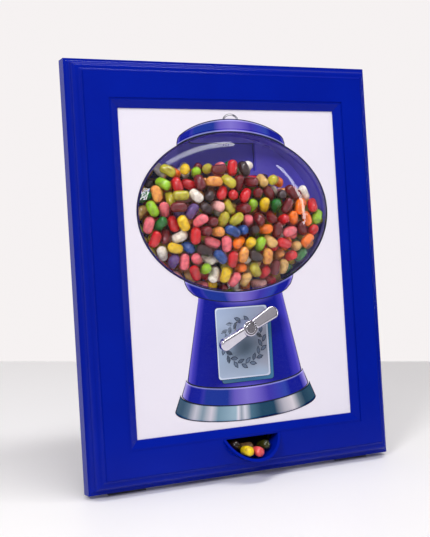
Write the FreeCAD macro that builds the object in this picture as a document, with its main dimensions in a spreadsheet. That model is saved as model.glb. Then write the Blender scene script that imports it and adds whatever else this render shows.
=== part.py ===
"""Picture-frame candy dispenser: a leaning blue frame with a bean-filled globe window.

Pieces are drawn upright: u runs right, v up from the frame's bottom edge and w
towards the viewer from the frame's rear edge. Each one is then leaned back.
"""
import FreeCAD, Part
import math
import os
import random
import re
import Sketcher
from FreeCAD import Placement, Rotation, Vector

# Driving sizes in millimetres and degrees
SIZES = {
    # Frame moulding
    "frame_width": 318.0,
    "frame_height": 390.0,
    "lean_angle": 8.0,
    "foot_lift": 2.0,
    "side_depth": 12.0,
    "bead_radius": 5.0,
    "bead_quirk": 1.0,
    "moulding_width": 13.5,
    "edge_step": 0.5,
    "edge_ledge": 0.7,
    "face_depth": 25.3,
    "flat_width": 23.0,
    "quirk_width": 2.0,
    "quirk_drop": 0.8,
    "lip_width": 9.0,
    "lip_edge": 0.8,
    "panel_drop": 4.7,
    "frame_wall": 2.6,
    "rebate_width": 7.0,
    "rib_width": 2.0,
    "rib_height": 1.8,
    # Panel, label and window
    "panel_thickness": 2.0,
    "panel_gap": 0.5,
    "label_thickness": 0.25,
    "label_gap": 0.6,
    "globe_width": 200.0,
    "globe_height": 150.0,
    "globe_centre": 248.0,
    "dome_bulge": 24.0,
    "dome_cut": 0.4,
    "dome_wall": 2.0,
    "tube_wall": 3.0,
    "window_gap": 0.3,
    "flange_thickness": 1.6,
    "flange_width": 7.0,
    # Printed figure
    "cap_half_width": 59.0,
    "cap_height": 26.0,
    "cap_side": 9.0,
    "collar_half_width": 58.0,
    "neck_half_width": 44.0,
    "neck_height": 168.5,
    "skirt_half_width": 60.5,
    "skirt_height": 94.5,
    "base_half_width": 75.0,
    "base_height": 66.0,
    "base_sag": 15.0,
    # Hopper
    "plate_thickness": 2.0,
    "plate_inset": 31.0,
    "plate_rib": 3.0,
    "cavity_margin": 3.0,
    "hopper_depth": 29.0,
    "hopper_wall": 2.0,
    "throat_width": 36.0,
    "outlet_width": 30.0,
    "bearing_radius": 7.0,
    "bearing_length": 1.7,
    # Wheel, shaft and knob
    "knob_axis": 137.5,
    "wheel_radius": 24.0,
    "wheel_gap": 0.6,
    "wheel_hub": 9.0,
    "wheel_vane": 3.0,
    "cover_radius": 28.0,
    "shaft_radius": 4.0,
    "fit_gap": 0.05,
    "pin_radius": 1.25,
    "bush_radius": 6.0,
    "bush_head_radius": 8.5,
    "bush_head": 1.2,
    "knob_gap": 0.6,
    "knob_height": 14.6,
    "knob_foot_radius": 9.0,
    "knob_radius": 7.4,
    "cap_radius": 5.1,
    "cap_thickness": 2.4,
    "wing_reach": 34.5,
    "wing_tip_radius": 6.4,
    "wing_root": 4.8,
    "wing_thickness": 6.5,
    "wing_edge": 2.2,
    "wing_angle": 27.4,
    "wing_pitch": -22.0,
    # Chute and cup
    "chute_width": 44.0,
    "chute_wall": 2.0,
    "chute_bend": 66.0,
    "chute_foot": 14.4,
    "cup_radius": 29.2,
    "cup_wall": 2.4,
    "cup_centre": 45.8,
    "cup_top": 36.0,
    "rim_start": 0.5,
    "rim_slope": 0.7,
    "cup_gap": 0.2,
    # Rear cover, door and stand
    "cover_gap": 0.4,
    "cover_wall": 2.5,
    "tray_inset": 30.0,
    "tray_clearance": 2.0,
    "tray_round": 5.0,
    "keyhole_span": 180.0,
    "keyhole_height": 308.0,
    "keyhole_radius": 4.5,
    "keyhole_slot": 2.5,
    "keyhole_length": 9.0,
    "port_width": 84.0,
    "port_low": 290.0,
    "port_height": 28.0,
    "door_margin": 4.0,
    "door_thickness": 2.3,
    "door_gap": 0.2,
    "door_barrel": 2.6,
    "door_pin_radius": 1.2,
    "stand_height": 250.0,
    "stand_reach": 7.5,
    "stand_spread": 17.0,
    "stand_pin_radius": 2.0,
    "leg_thickness": 4.0,
    "leg_knuckle": 4.5,
    "leg_half_width": 30.0,
    "bracket_half_width": 26.0,
    "bracket_plate": 2.0,
    "ear_gap": 18.4,
    "ear_thickness": 4.0,
    "pad_height": 6.0,
    "pad_depth": 14.0,
    "foot_offset": 120.0,
    "foot_width": 36.0,
    "foot_depth": 6.0,
    # Fasteners
    "screw_head_radius": 3.2,
    "screw_head": 1.8,
    "screw_shank": 1.5,
    "screw_length": 9.0,
    "boss_radius": 4.0,
    "cover_boss_inset": 22.0,
    "hopper_boss_inset": 35.0,
    "hopper_boss_radius": 3.0,
    # Beans
    "bean_length": 16.4,
    "bean_radius": 5.1,
    "bean_end_radius": 4.9,
    "bean_gap": 0.35,
    "bean_pitch": 12.9,
    "pile_height": 280.0,
    "pile_step": 14.0,
    "pile_turn": 45.0,
    "pile_blend": 25.0,
}

# Sizes that follow from the driving ones
DERIVED = {
    "half_width": "frame_width / 2",
    "panel_front": "face_depth - panel_drop",
    "panel_rear": "panel_front - panel_thickness",
    "plate_front": "panel_rear - flange_thickness",
    "plate_rear": "plate_front - plate_thickness",
    "opening_inset": "moulding_width + flat_width + lip_width",
    "panel_inset": "opening_inset - rebate_width + panel_gap",
    "rebate_inset": "opening_inset - rebate_width",
    "hopper_back": "plate_front - hopper_depth",
    "cover_inside": "hopper_back - hopper_wall - tray_clearance",
    "cover_back": "cover_inside - cover_wall",
    "globe_half_width": "globe_width / 2",
    "globe_half_height": "globe_height / 2",
    "dome_depth": "dome_bulge / (1 - dome_cut)",
    "dome_scale": "sqrt(1 - dome_cut * dome_cut)",
    "dome_origin": "panel_front - dome_cut * dome_depth",
    "drum_radius": "wheel_radius + wheel_gap",
    "wheel_back": "hopper_back + wheel_gap",
    "wheel_front": "plate_front - wheel_gap",
    "knob_foot": "panel_front + bush_head + knob_gap",
    "knob_top": "knob_foot + knob_height",
    "chute_front": "plate_rear - 0.5",
    "chute_back": "hopper_back - hopper_wall",
    "chute_top": "knob_axis - drum_radius - hopper_wall - 0.4",
    "cup_back": "chute_front + 0.4",
    "cup_outer": "cup_radius + cup_wall",
    "cup_foot": "cup_centre - cup_outer",
    "rim_foot": "face_depth + rim_start + rim_slope * (cup_top - cup_foot)",
    "door_axis": "port_low - door_margin - 2",
    "door_depth": "cover_back - door_barrel - 0.3",
    "stand_depth": "cover_back - stand_reach",
    "hinge_y": "-stand_depth * cos(lean_angle) + stand_height * sin(lean_angle)",
    "hinge_z": "stand_depth * sin(lean_angle) + stand_height * cos(lean_angle) + foot_lift",
    "leg_tilt": "stand_spread - lean_angle",
    "pad_y": "hinge_y + (hinge_z - pad_height) * tan(leg_tilt)",
    "rim_y": "cup_foot * sin(lean_angle) - rim_foot * cos(lean_angle)",
    "centre_shift": "-(rim_y + pad_y + pad_depth / 2) / 2",
}

doc = FreeCAD.newDocument("candy_frame")
sheet = doc.addObject("Spreadsheet::Sheet", "Sizes")
nodes = []


def fill_sheet():
    """Write every driving size into its own named cell."""
    for row, (alias, value) in enumerate(SIZES.items(), start=1):
        sheet.set(f"A{row}", alias)
        sheet.set(f"B{row}", str(value))
        sheet.setAlias(f"B{row}", alias)
    doc.recompute()


def formula(text):
    """Spell a size expression in terms of the sheet's cells."""
    def spell(match):
        word = match.group(0)
        if word in DERIVED:
            return "(" + formula(DERIVED[word]) + ")"
        return "Sizes." + word if word in SIZES else word
    return re.sub(r"[a-z_]+", spell, text)


def number(text):
    """Give the present value of a size expression."""
    return float(sheet.evalExpression(formula(text)))


def bind(thing, sizes):
    """Tie properties of one object to size expressions."""
    for name, text in sizes.items():
        thing.setExpression(name, formula(text))


def place(thing, u, v, w):
    """Tie the base point of one object to upright coordinates."""
    bind(thing, {"Placement.Base.x": u, "Placement.Base.y": f"-({w})", "Placement.Base.z": v})


# Basic solids


def block(name, u, v, w, width, height, depth):
    """Box from its low corner."""
    box = doc.addObject("Part::Box", name)
    bind(box, {"Length": width, "Width": depth, "Height": height})
    place(box, u, v, f"({w}) + ({depth})")
    return box


def middle_block(name, v, w, width, height, depth):
    """Box that is centred left to right."""
    return block(name, f"-({width}) / 2", v, w, width, height, depth)


def post(name, u, v, w, radius, length):
    """Cylinder that points at the viewer."""
    solid = doc.addObject("Part::Cylinder", name)
    solid.Placement = Placement(Vector(), Rotation(Vector(1, 0, 0), 90))
    bind(solid, {"Radius": radius, "Height": length})
    place(solid, u, v, w)
    return solid


def rod(name, v, w, radius, length):
    """Cylinder that runs left to right about the middle."""
    solid = doc.addObject("Part::Cylinder", name)
    solid.Placement = Placement(Vector(), Rotation(Vector(0, 1, 0), 90))
    bind(solid, {"Radius": radius, "Height": length})
    place(solid, f"-({length}) / 2", v, w)
    return solid


def oval(name, w, half_width, half_height, depth):
    """Oval plug about the centre of the globe."""
    rim = doc.addObject("Part::Ellipse", name + "_rim")
    rim.Placement = Placement(Vector(), Rotation(Vector(1, 0, 0), 90))
    bind(rim, {"MajorRadius": half_width, "MinorRadius": half_height})
    place(rim, "0", "globe_centre", w)
    return extrude(name, rim, Vector(0, -1, 0), depth)


def extrude(name, base, direction, length):
    """Solid swept straight from a closed outline."""
    solid = doc.addObject("Part::Extrusion", name)
    solid.Base = base
    solid.DirMode = "Custom"
    solid.Dir = direction
    solid.Solid = True
    bind(solid, {"LengthFwd": length})
    return solid


def ellipsoid(name, w, half_width, half_height, half_depth):
    """Whole ellipsoid about the centre of the globe."""
    solid = doc.addObject("Part::Ellipsoid", name)
    solid.Placement = Placement(Vector(), Rotation(Vector(1, 0, 0), 90))
    bind(solid, {"Radius1": half_depth, "Radius2": half_width, "Radius3": half_height})
    place(solid, "0", "globe_centre", w)
    return solid


def fuse(name, parts):
    """Union of solids."""
    joined = doc.addObject("Part::MultiFuse", name)
    joined.Shapes = parts
    joined.Refine = True
    return joined


def cut(name, base, tools):
    """Solid less one or more tools."""
    result = doc.addObject("Part::Cut", name)
    result.Base = base
    result.Tool = tools[0] if len(tools) == 1 else fuse(name + "_tools", tools)
    result.Refine = True
    return result


def common(name, first, second):
    """Shared space of two solids."""
    result = doc.addObject("Part::MultiCommon", name)
    result.Shapes = [first, second]
    return result


def group(name, members):
    """Separate solids that share one node."""
    result = doc.addObject("Part::Compound", name)
    result.Links = members
    return result


def rounded(name, base, radius, wanted):
    """Solid with a round on each edge that the test picks."""
    doc.recompute()
    result = doc.addObject("Part::Fillet", name)
    result.Base = base
    picks = [i for i, edge in enumerate(base.Shape.Edges, start=1) if wanted(edge)]
    result.Edges = [(i, radius, radius) for i in picks]
    return result


def leaned():
    """Placement that leans an upright piece back onto its stand."""
    turn = Rotation(Vector(-1, 0, 0), number("lean_angle"))
    return Placement(Vector(0, number("centre_shift"), number("foot_lift")), turn)


def finish(piece, label):
    """Name one piece, lean it and list it for export."""
    piece.Label = label
    piece.Placement = leaned()
    bind(piece, {
        "Placement.Base.y": "centre_shift",
        "Placement.Base.z": "foot_lift",
        "Placement.Rotation.Angle": "lean_angle",
    })
    nodes.append(piece)


def finish_standing(piece, label):
    """Name one piece that is drawn in the room's own axes."""
    piece.Label = label
    nodes.append(piece)


# Sketched outlines


def arc_through(start, end, radius):
    """Arc between two points, bulging left of the way for a positive radius."""
    chord = end - start
    half = chord.Length / 2
    side = Vector(-chord.y, chord.x, 0).normalize()
    rise = abs(radius) - math.sqrt(max(radius * radius - half * half, 0.0))
    top = (start + end) * 0.5 + side * math.copysign(rise, radius)
    return Part.Arc(start, top, end)


def pin_point(sketch, edge, end, axis, text):
    """Tie one coordinate of a sketch point to a size expression."""
    value = number(text)
    if abs(value) < 1e-6:
        line = -2 if axis == "DistanceX" else -1
        sketch.addConstraint(Sketcher.Constraint("PointOnObject", edge, end, line))
        return
    ends = (-1, 1, edge, end) if value > 0 else (edge, end, -1, 1)
    row = sketch.addConstraint(Sketcher.Constraint(axis, *ends, abs(value)))
    signed = text if value > 0 else f"-({text})"
    sketch.setExpression(f"Constraints[{row}]", formula(signed))


def outline(name, points, bends=None):
    """Closed sketch through the given points; bends holds the edges that are arcs."""
    bends = bends or {}
    sketch = doc.addObject("Sketcher::SketchObject", name)
    spots = [Vector(number(x), number(y), 0) for x, y in points]
    ends = []
    for i, start in enumerate(spots):
        stop = spots[(i + 1) % len(spots)]
        bend = number(bends[i]) if i in bends else 0
        edge = arc_through(start, stop, bend) if bend else Part.LineSegment(start, stop)
        sketch.addGeometry(edge, False)
        ends.append((2, 1) if bend > 0 else (1, 2))
    for i, (x, y) in enumerate(points):
        after = (i + 1) % len(points)
        sketch.addConstraint(Sketcher.Constraint("Coincident", i, ends[i][1], after, ends[after][0]))
        pin_point(sketch, i, ends[i][0], "DistanceX", x)
        pin_point(sketch, i, ends[i][0], "DistanceY", y)
        if i in bends:
            row = sketch.addConstraint(Sketcher.Constraint("Radius", i, abs(number(bends[i]))))
            sketch.setExpression(f"Constraints[{row}]", formula(f"abs({bends[i]})"))
    return sketch


def face_outline(name, points, bends=None, w="0"):
    """Outline seen from the front, at a given depth."""
    sketch = outline(name, points, bends)
    sketch.Placement = Placement(Vector(), Rotation(Vector(1, 0, 0), 90))
    place(sketch, "0", "0", w)
    return sketch


def side_prism(name, points, u, width):
    """Solid with one outline in depth and height, swept left to right."""
    sketch = outline(name + "_side", points)
    axes = FreeCAD.Matrix(0, 0, -1, 0, -1, 0, 0, 0, 0, 1, 0, 0, 0, 0, 0, 1)
    sketch.Placement = Placement(axes)
    bind(sketch, {"Placement.Base.x": u})
    return extrude(name, sketch, Vector(1, 0, 0), width)


# Fasteners


def screw(name, u, v, w, length, shank="screw_shank", head_radius="screw_head_radius"):
    """Pan-head screw driven towards the viewer, with its head behind w."""
    head = post(name + "_head", u, v, f"({w}) - screw_head", head_radius, "screw_head")
    body = post(name + "_body", u, v, w, shank, length)
    slot = block(name + "_slot", f"({u}) - 0.4", f"({v}) - 2", f"({w}) - screw_head",
                 "0.8", "4", "0.7")
    return cut(name, fuse(name + "_blank", [head, body]), [slot])


def screw_group(label, spots, w, length, **sizes):
    """One node of like screws."""
    screws = [screw(f"{label}_{i}", u, v, w, length, **sizes) for i, (u, v) in enumerate(spots)]
    finish(group(label, screws), label)


def holes(name, spots, w, radius, length):
    """Row of like round tools."""
    return [post(f"{name}_{i}", u, v, w, radius, length) for i, (u, v) in enumerate(spots)]


def edge_spots(inset, side_low, side_high, end_reach):
    """Eight fixing places at one inset from the frame's edges."""
    spots = []
    for sign in ("-", ""):
        spots.append((f"{sign}(half_width - {inset})", f"frame_height * {side_low}"))
        spots.append((f"{sign}(half_width - {inset})", f"frame_height * {side_high}"))
        spots.append((f"{sign}{end_reach} * frame_width", inset))
        spots.append((f"{sign}{end_reach} * frame_width", f"frame_height - {inset}"))
    return spots


COVER_SPOTS = edge_spots("cover_boss_inset", 0.18, 0.82, 0.22)
HOPPER_SPOTS = edge_spots("hopper_boss_inset", 0.28, 0.72, 0.22)


# Front frame, panel and label


def moulding_profile():
    """Cross-section of the rail: inset from the outer edge against depth."""
    ogee_start = "side_depth + bead_radius + bead_quirk"
    ogee_end = "face_depth - edge_step"
    ogee_run = "(moulding_width - edge_ledge - bead_radius)"
    ogee_rise = f"({ogee_end} - ({ogee_start}))"
    ogee_turn = f"(2 * atan2({ogee_rise}; {ogee_run}))"
    ogee_radius = f"{ogee_run} / (2 * sin({ogee_turn}))"
    flat_end = "moulding_width + flat_width"
    under = "face_depth - frame_wall"
    rows = [
        ("0", "0"),
        ("0", "side_depth"),
        ("bead_radius", "side_depth + bead_radius"),
        ("bead_radius", ogee_start),
        (f"bead_radius + {ogee_run} / 2", f"{ogee_start} + {ogee_rise} / 2"),
        ("moulding_width - edge_ledge", ogee_end),
        ("moulding_width", ogee_end),
        ("moulding_width", "face_depth"),
        (flat_end, "face_depth"),
        (flat_end, "face_depth - quirk_drop"),
        (f"{flat_end} + quirk_width", "face_depth - quirk_drop"),
        ("opening_inset", "panel_front + lip_edge"),
        ("opening_inset", "panel_front"),
        ("rebate_inset", "panel_front"),
        ("rebate_inset", "panel_front - rib_height"),
        ("rebate_inset - rib_width", "panel_front - rib_height"),
        ("rebate_inset - rib_width", under),
        ("moulding_width + 1", under),
        ("bead_radius + frame_wall", f"{ogee_start} - 1.8"),
        ("frame_wall", "side_depth - 0.8"),
        ("frame_wall", "0"),
    ]
    points = [(f"-({depth})", inset) for inset, depth in rows]
    return points, {1: "-bead_radius", 3: ogee_radius, 4: f"-{ogee_radius}"}


def build_moulding():
    """Rail profile carried round the four mitred sides."""
    points, bends = moulding_profile()
    profile = outline("rail_profile", points, bends)
    profile.Placement = Placement(Vector(), Rotation(90, 0, 90))
    path = face_outline("rail_path", [
        ("0", "0"), ("half_width", "0"), ("half_width", "frame_height"),
        ("-half_width", "frame_height"), ("-half_width", "0"),
    ])
    doc.recompute()
    sweep = doc.addObject("Part::Sweep", "moulding")
    sweep.Sections = [profile]
    sweep.Spine = (path, [])
    sweep.Solid = True
    sweep.Transition = "Right corner"
    return sweep


def cup_slug(name, radius, w, depth):
    """Round slug below the cup's straight top edge."""
    round_part = post(name + "_round", "0", "cup_centre", w, radius, depth)
    lower = middle_block(name + "_lower", "0", w, "frame_width / 2", "cup_top", depth)
    return common(name, round_part, lower)


def build_front_frame():
    """Moulding with its screw bosses and the hole for the cup."""
    under = "face_depth - frame_wall"
    cover_bosses = holes("cover_boss", COVER_SPOTS, "cover_wall", "boss_radius",
                         f"{under} - cover_wall + 0.5")
    hopper_bosses = holes("hopper_boss", HOPPER_SPOTS, "plate_front", "hopper_boss_radius",
                          f"{under} - plate_front + 0.5")
    whole = fuse("frame_blank", [build_moulding()] + cover_bosses + hopper_bosses)
    tools = holes("cover_pilot", COVER_SPOTS, "cover_wall", "screw_shank + fit_gap", "screw_length")
    tools += holes("hopper_pilot", HOPPER_SPOTS, "plate_front", "screw_shank + fit_gap", "4.5")
    tools.append(cup_slug("cup_hole", "cup_outer + cup_gap", "panel_front - rib_height", "20"))
    finish(cut("front_frame", whole, tools), "front_frame")


def build_panel():
    """White panel with the oval globe hole and the shaft hole."""
    sheet_part = middle_block("panel_sheet", "panel_inset", "panel_rear",
                              "frame_width - 2 * panel_inset", "frame_height - 2 * panel_inset",
                              "panel_thickness")
    globe = oval("panel_globe", "panel_rear - 1", "globe_half_width + window_gap",
                 "globe_half_height + window_gap", "panel_thickness + 2")
    shaft = post("panel_shaft", "0", "knob_axis", "panel_rear - 1", "bush_radius + window_gap",
                 "panel_thickness + 2")
    finish(cut("picture_panel", sheet_part, [globe, shaft]), "picture_panel")


def globe_edge(half):
    """Height of the globe's edge above its centre at one half-width."""
    return f"globe_half_height * sqrt(1 - ({half}) * ({half}) / (globe_half_width * globe_half_width))"


def arc_radius(half, rise):
    """Radius of an arc from its half-chord and its rise."""
    return f"(({half}) * ({half}) + ({rise}) * ({rise})) / (2 * ({rise}))"


def cap_outline():
    """Cap of the printed machine, resting on the globe's upper edge."""
    low = f"globe_centre + {globe_edge('cap_half_width')} + label_gap"
    rise = f"globe_half_height - {globe_edge('cap_half_width')}"
    crown = "cap_half_width - 4"
    return face_outline("cap_outline", [
        ("cap_half_width", low), (crown, f"{low} + cap_side"),
        (f"-({crown})", f"{low} + cap_side"), ("-cap_half_width", low),
    ], {1: "-(" + arc_radius(crown, "cap_height - cap_side") + ")",
        3: arc_radius("cap_half_width", rise)}, "panel_front")


def stand_outline():
    """Collar, skirt and base of the printed machine, under the globe."""
    drop = globe_edge("collar_half_width")
    high = f"globe_centre - {drop} - label_gap"
    right = [("collar_half_width", high), ("neck_half_width", "neck_height"),
             ("skirt_half_width", "skirt_height"), ("base_half_width", "base_height")]
    left = [(f"-{u}", v) for u, v in reversed(right)]
    base = arc_radius("base_half_width", "base_sag")
    top = arc_radius("collar_half_width", f"globe_half_height - {drop}")
    return face_outline("stand_outline", right + left, {3: base, 7: "-(" + top + ")"}, "panel_front")


def build_label():
    """Die-cut label in two pieces, cap above the globe and stand below it."""
    cap = extrude("label_cap", cap_outline(), Vector(0, -1, 0), "label_thickness")
    stand = extrude("label_stand_blank", stand_outline(), Vector(0, -1, 0), "label_thickness")
    bush = post("label_hole", "0", "knob_axis", "panel_front - 1", "bush_head_radius + window_gap", "3")
    finish(group("machine_label", [cap, cut("label_stand", stand, [bush])]), "machine_label")


def build_window():
    """Clear dome with a short neck through the panel and a flange behind it."""
    outer = ellipsoid("dome_outer", "dome_origin", "globe_half_width / dome_scale",
                      "globe_half_height / dome_scale", "dome_depth")
    inner = ellipsoid("dome_inner", "dome_origin", "globe_half_width / dome_scale - dome_wall",
                      "globe_half_height / dome_scale - dome_wall", "dome_depth - dome_wall")
    front = middle_block("dome_front", "globe_centre - globe_height", "panel_front",
                         "2 * globe_width", "2 * globe_height", "2 * dome_bulge")
    dome = common("dome", cut("dome_shell", outer, [inner]), front)
    neck = oval("neck_outer", "plate_front", "globe_half_width", "globe_half_height",
                "panel_front - plate_front")
    flange = oval("flange_outer", "plate_front", "globe_half_width + flange_width",
                  "globe_half_height + flange_width", "flange_thickness")
    bore = oval("neck_inner", "plate_front - 1", "globe_half_width - tube_wall",
                "globe_half_height - tube_wall", "panel_front - plate_front + 1")
    ring = cut("neck_ring", fuse("neck_blank", [neck, flange]), [bore])
    finish(fuse("globe_window", [dome, ring]), "globe_window")


# Hopper, wheel and drive


def build_hopper():
    """Bin behind the window with the wheel housing below it."""
    depth = "plate_rear - hopper_back + hopper_wall"
    back = "hopper_back - hopper_wall"
    half_wide = "globe_half_width + cavity_margin"
    half_high = "globe_half_height + cavity_margin"
    drum_outer = "drum_radius + hopper_wall"
    inside = "plate_front - hopper_back + flange_thickness + 1"
    plate = middle_block("hopper_plate", "plate_inset", "plate_rear", "frame_width - 2 * plate_inset",
                         "frame_height - 2 * plate_inset", "plate_thickness")
    rib = cut("hopper_rib", middle_block(
        "rib_outer", "panel_inset + 1", "plate_front", "frame_width - 2 * panel_inset - 2",
        "frame_height - 2 * panel_inset - 2", "flange_thickness"), [middle_block(
            "rib_inner", "panel_inset + 1 + plate_rib", "plate_front - 1",
            "frame_width - 2 * panel_inset - 2 - 2 * plate_rib",
            "frame_height - 2 * panel_inset - 2 - 2 * plate_rib", "flange_thickness + 2")])
    walls = [
        oval("bin_outer", back, f"{half_wide} + hopper_wall", f"{half_high} + hopper_wall", depth),
        post("drum_outer", "0", "knob_axis", back, drum_outer, depth),
        middle_block("throat_outer", "knob_axis", back, "throat_width + 2 * hopper_wall",
                     f"globe_centre - ({half_high}) - knob_axis", depth),
        post("bearing", "0", "knob_axis", f"{back} - bearing_length", "bearing_radius", "bearing_length"),
        middle_block("port_outer", "port_low - hopper_wall", "cover_inside + 0.3",
                     "port_width + 2 * hopper_wall", "port_height + 2 * hopper_wall",
                     "hopper_back - cover_inside - 0.3"),
    ]
    tools = [
        oval("bin_inner", "hopper_back", half_wide, half_high, inside),
        post("drum_inner", "0", "knob_axis", "hopper_back", "drum_radius", inside),
        middle_block("throat_inner", "knob_axis", "hopper_back", "throat_width",
                     f"globe_centre - ({half_high}) - knob_axis + 8", "plate_rear - hopper_back"),
        middle_block("outlet", f"knob_axis - ({drum_outer}) - 1", "hopper_back", "outlet_width",
                     f"{drum_outer}", "chute_front - chute_wall - hopper_back"),
        post("bearing_hole", "0", "knob_axis", f"{back} - 5", "shaft_radius + fit_gap", "10"),
        middle_block("port_inner", "port_low", "cover_inside - 1", "port_width", "port_height",
                     "hopper_back - cover_inside + 2"),
        middle_block("cup_notch", "plate_inset - 1", "plate_rear - 1", "66", "10", "5"),
    ]
    tools += holes("hopper_hole", HOPPER_SPOTS, "plate_rear - 1", "screw_shank + 0.2", "4")
    tools += holes("chute_hole", CHUTE_SPOTS, "plate_rear - 1", "pin_radius + fit_gap", "4")
    finish(cut("hopper", fuse("hopper_blank", [plate, rib] + walls), tools), "hopper")


def build_drum_cover():
    """Disc that closes the front of the wheel housing."""
    disc = post("cover_disc", "0", "knob_axis", "plate_front", "cover_radius", "flange_thickness")
    hole = post("cover_hole", "0", "knob_axis", "plate_front - 1", "bush_radius + window_gap", "4")
    finish(cut("drum_cover", disc, [hole]), "drum_cover")


def axis_sketch(body, name, w):
    """Sketch of a body seen from the front, with its origin on the knob axis."""
    sketch = body.newObject("Sketcher::SketchObject", name)
    plane = next(f for f in body.Origin.OriginFeatures if f.Role == "XZ_Plane")
    sketch.AttachmentSupport = [(plane, "")]
    sketch.MapMode = "FlatFace"
    sketch.AttachmentOffset = Placement(Vector(0, 0, number(w)), Rotation())
    bind(sketch, {"AttachmentOffset.Base.z": w})
    return sketch


def sketch_circle(sketch, radius):
    """Circle about the sketch's origin."""
    row = sketch.addGeometry(Part.Circle(Vector(), Vector(0, 0, 1), number(radius)), False)
    sketch.addConstraint(Sketcher.Constraint("Coincident", row, 3, -1, 1))
    size = sketch.addConstraint(Sketcher.Constraint("Radius", row, number(radius)))
    sketch.setExpression(f"Constraints[{size}]", formula(radius))


def sketch_box(sketch, left, low, right, high):
    """Rectangle between two corners."""
    corners = [(left, low), (right, low), (right, high), (left, high)]
    spots = [Vector(number(x), number(y), 0) for x, y in corners]
    for i in range(4):
        sketch.addGeometry(Part.LineSegment(spots[i], spots[(i + 1) % 4]), False)
    for i, (x, y) in enumerate(corners):
        sketch.addConstraint(Sketcher.Constraint("Coincident", i, 2, (i + 1) % 4, 1))
        pin_point(sketch, i, 1, "DistanceX", x)
        pin_point(sketch, i, 1, "DistanceY", y)


def pad(body, sketch, length):
    """Pad of a sketch towards the viewer."""
    feature = body.newObject("PartDesign::Pad", sketch.Name + "_pad")
    feature.Profile = sketch
    bind(feature, {"Length": length})
    return feature


def build_wheel():
    """Star wheel whose pockets carry a few beans each."""
    body = doc.addObject("PartDesign::Body", "wheel_body")
    width = "wheel_front - wheel_back"
    hub = axis_sketch(body, "wheel_hub_ring", "wheel_back")
    sketch_circle(hub, "wheel_hub")
    pad(body, hub, width)
    vane = axis_sketch(body, "wheel_vane_box", "wheel_back")
    sketch_box(vane, "wheel_hub - 2", "-wheel_vane / 2", "wheel_radius", "wheel_vane / 2")
    vane_pad = pad(body, vane, width)
    doc.recompute()
    ring = body.newObject("PartDesign::PolarPattern", "wheel_vanes")
    ring.Originals = [vane_pad]
    ring.Axis = (hub, ["N_Axis"])
    ring.Angle = 360
    ring.Occurrences = 6
    body.Tip = ring
    place(body, "0", "knob_axis", "0")
    bore = post("wheel_bore", "0", "knob_axis", "wheel_back - 1", "shaft_radius + fit_gap",
                f"{width} + 2")
    pin = rod("wheel_pin_hole", "knob_axis", "0", "pin_radius + fit_gap", "4 * wheel_hub")
    finish(cut("metering_wheel", body, [bore, pin]), "metering_wheel")


def build_drive():
    """Shaft, cross pin and bush."""
    end = "knob_top - 5.8"
    start = "hopper_back - hopper_wall - bearing_length + 0.3"
    bar = post("shaft_bar", "0", "knob_axis", start, "shaft_radius", f"{end} - ({start})")
    pilot = post("shaft_pilot", "0", "knob_axis", f"{end} - 9", "pin_radius + fit_gap", "12")
    cross = rod("shaft_cross", "knob_axis", "0", "pin_radius + fit_gap", "4 * shaft_radius")
    finish(cut("drive_shaft", bar, [pilot, cross]), "drive_shaft")
    cross_pin = rod("cross_pin", "knob_axis", "0", "pin_radius", "2 * wheel_hub")
    finish(group("drive_pin", [cross_pin]), "drive_pin")
    sleeve = post("bush_sleeve", "0", "knob_axis", "plate_front", "bush_radius",
                  "panel_front - plate_front")
    head = post("bush_head_disc", "0", "knob_axis", "panel_front", "bush_head_radius", "bush_head")
    bore = post("bush_bore", "0", "knob_axis", "plate_front - 1", "shaft_radius + fit_gap", "12")
    finish(cut("shaft_bush", fuse("bush_blank", [sleeve, head]), [bore]), "shaft_bush")


def knob_wing(name, turn):
    """One pitched wing of the knob with rounded edges."""
    tip = "wing_reach - wing_tip_radius"
    lean = f"asin((wing_tip_radius - wing_root) / ({tip}))"
    side_x = f"{tip} - wing_tip_radius * sin({lean})"
    side_y = f"wing_tip_radius * cos({lean})"
    sketch = outline(name + "_outline", [
        ("0", "-wing_root"), (side_x, f"-{side_y}"), ("wing_reach", "0"), (side_x, side_y),
        ("0", "wing_root")], {1: "-wing_tip_radius", 2: "-wing_tip_radius"})
    place(sketch, "0", "0", "0")
    bind(sketch, {"Placement.Base.z": "-wing_thickness / 2"})
    blade = extrude(name + "_blade", sketch, Vector(0, 0, 1), "wing_thickness")
    soft = rounded(name, blade, number("wing_edge"), lambda edge: edge.BoundBox.XMax > 1)
    swing = Rotation(Vector(0, -1, 0), turn).multiply(Rotation(Vector(1, 0, 0), 90))
    soft.Placement = Placement(Vector(), swing.multiply(Rotation(Vector(1, 0, 0), number("wing_pitch"))))
    place(soft, "0", "knob_axis", "knob_top - 4.6")
    return soft


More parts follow.
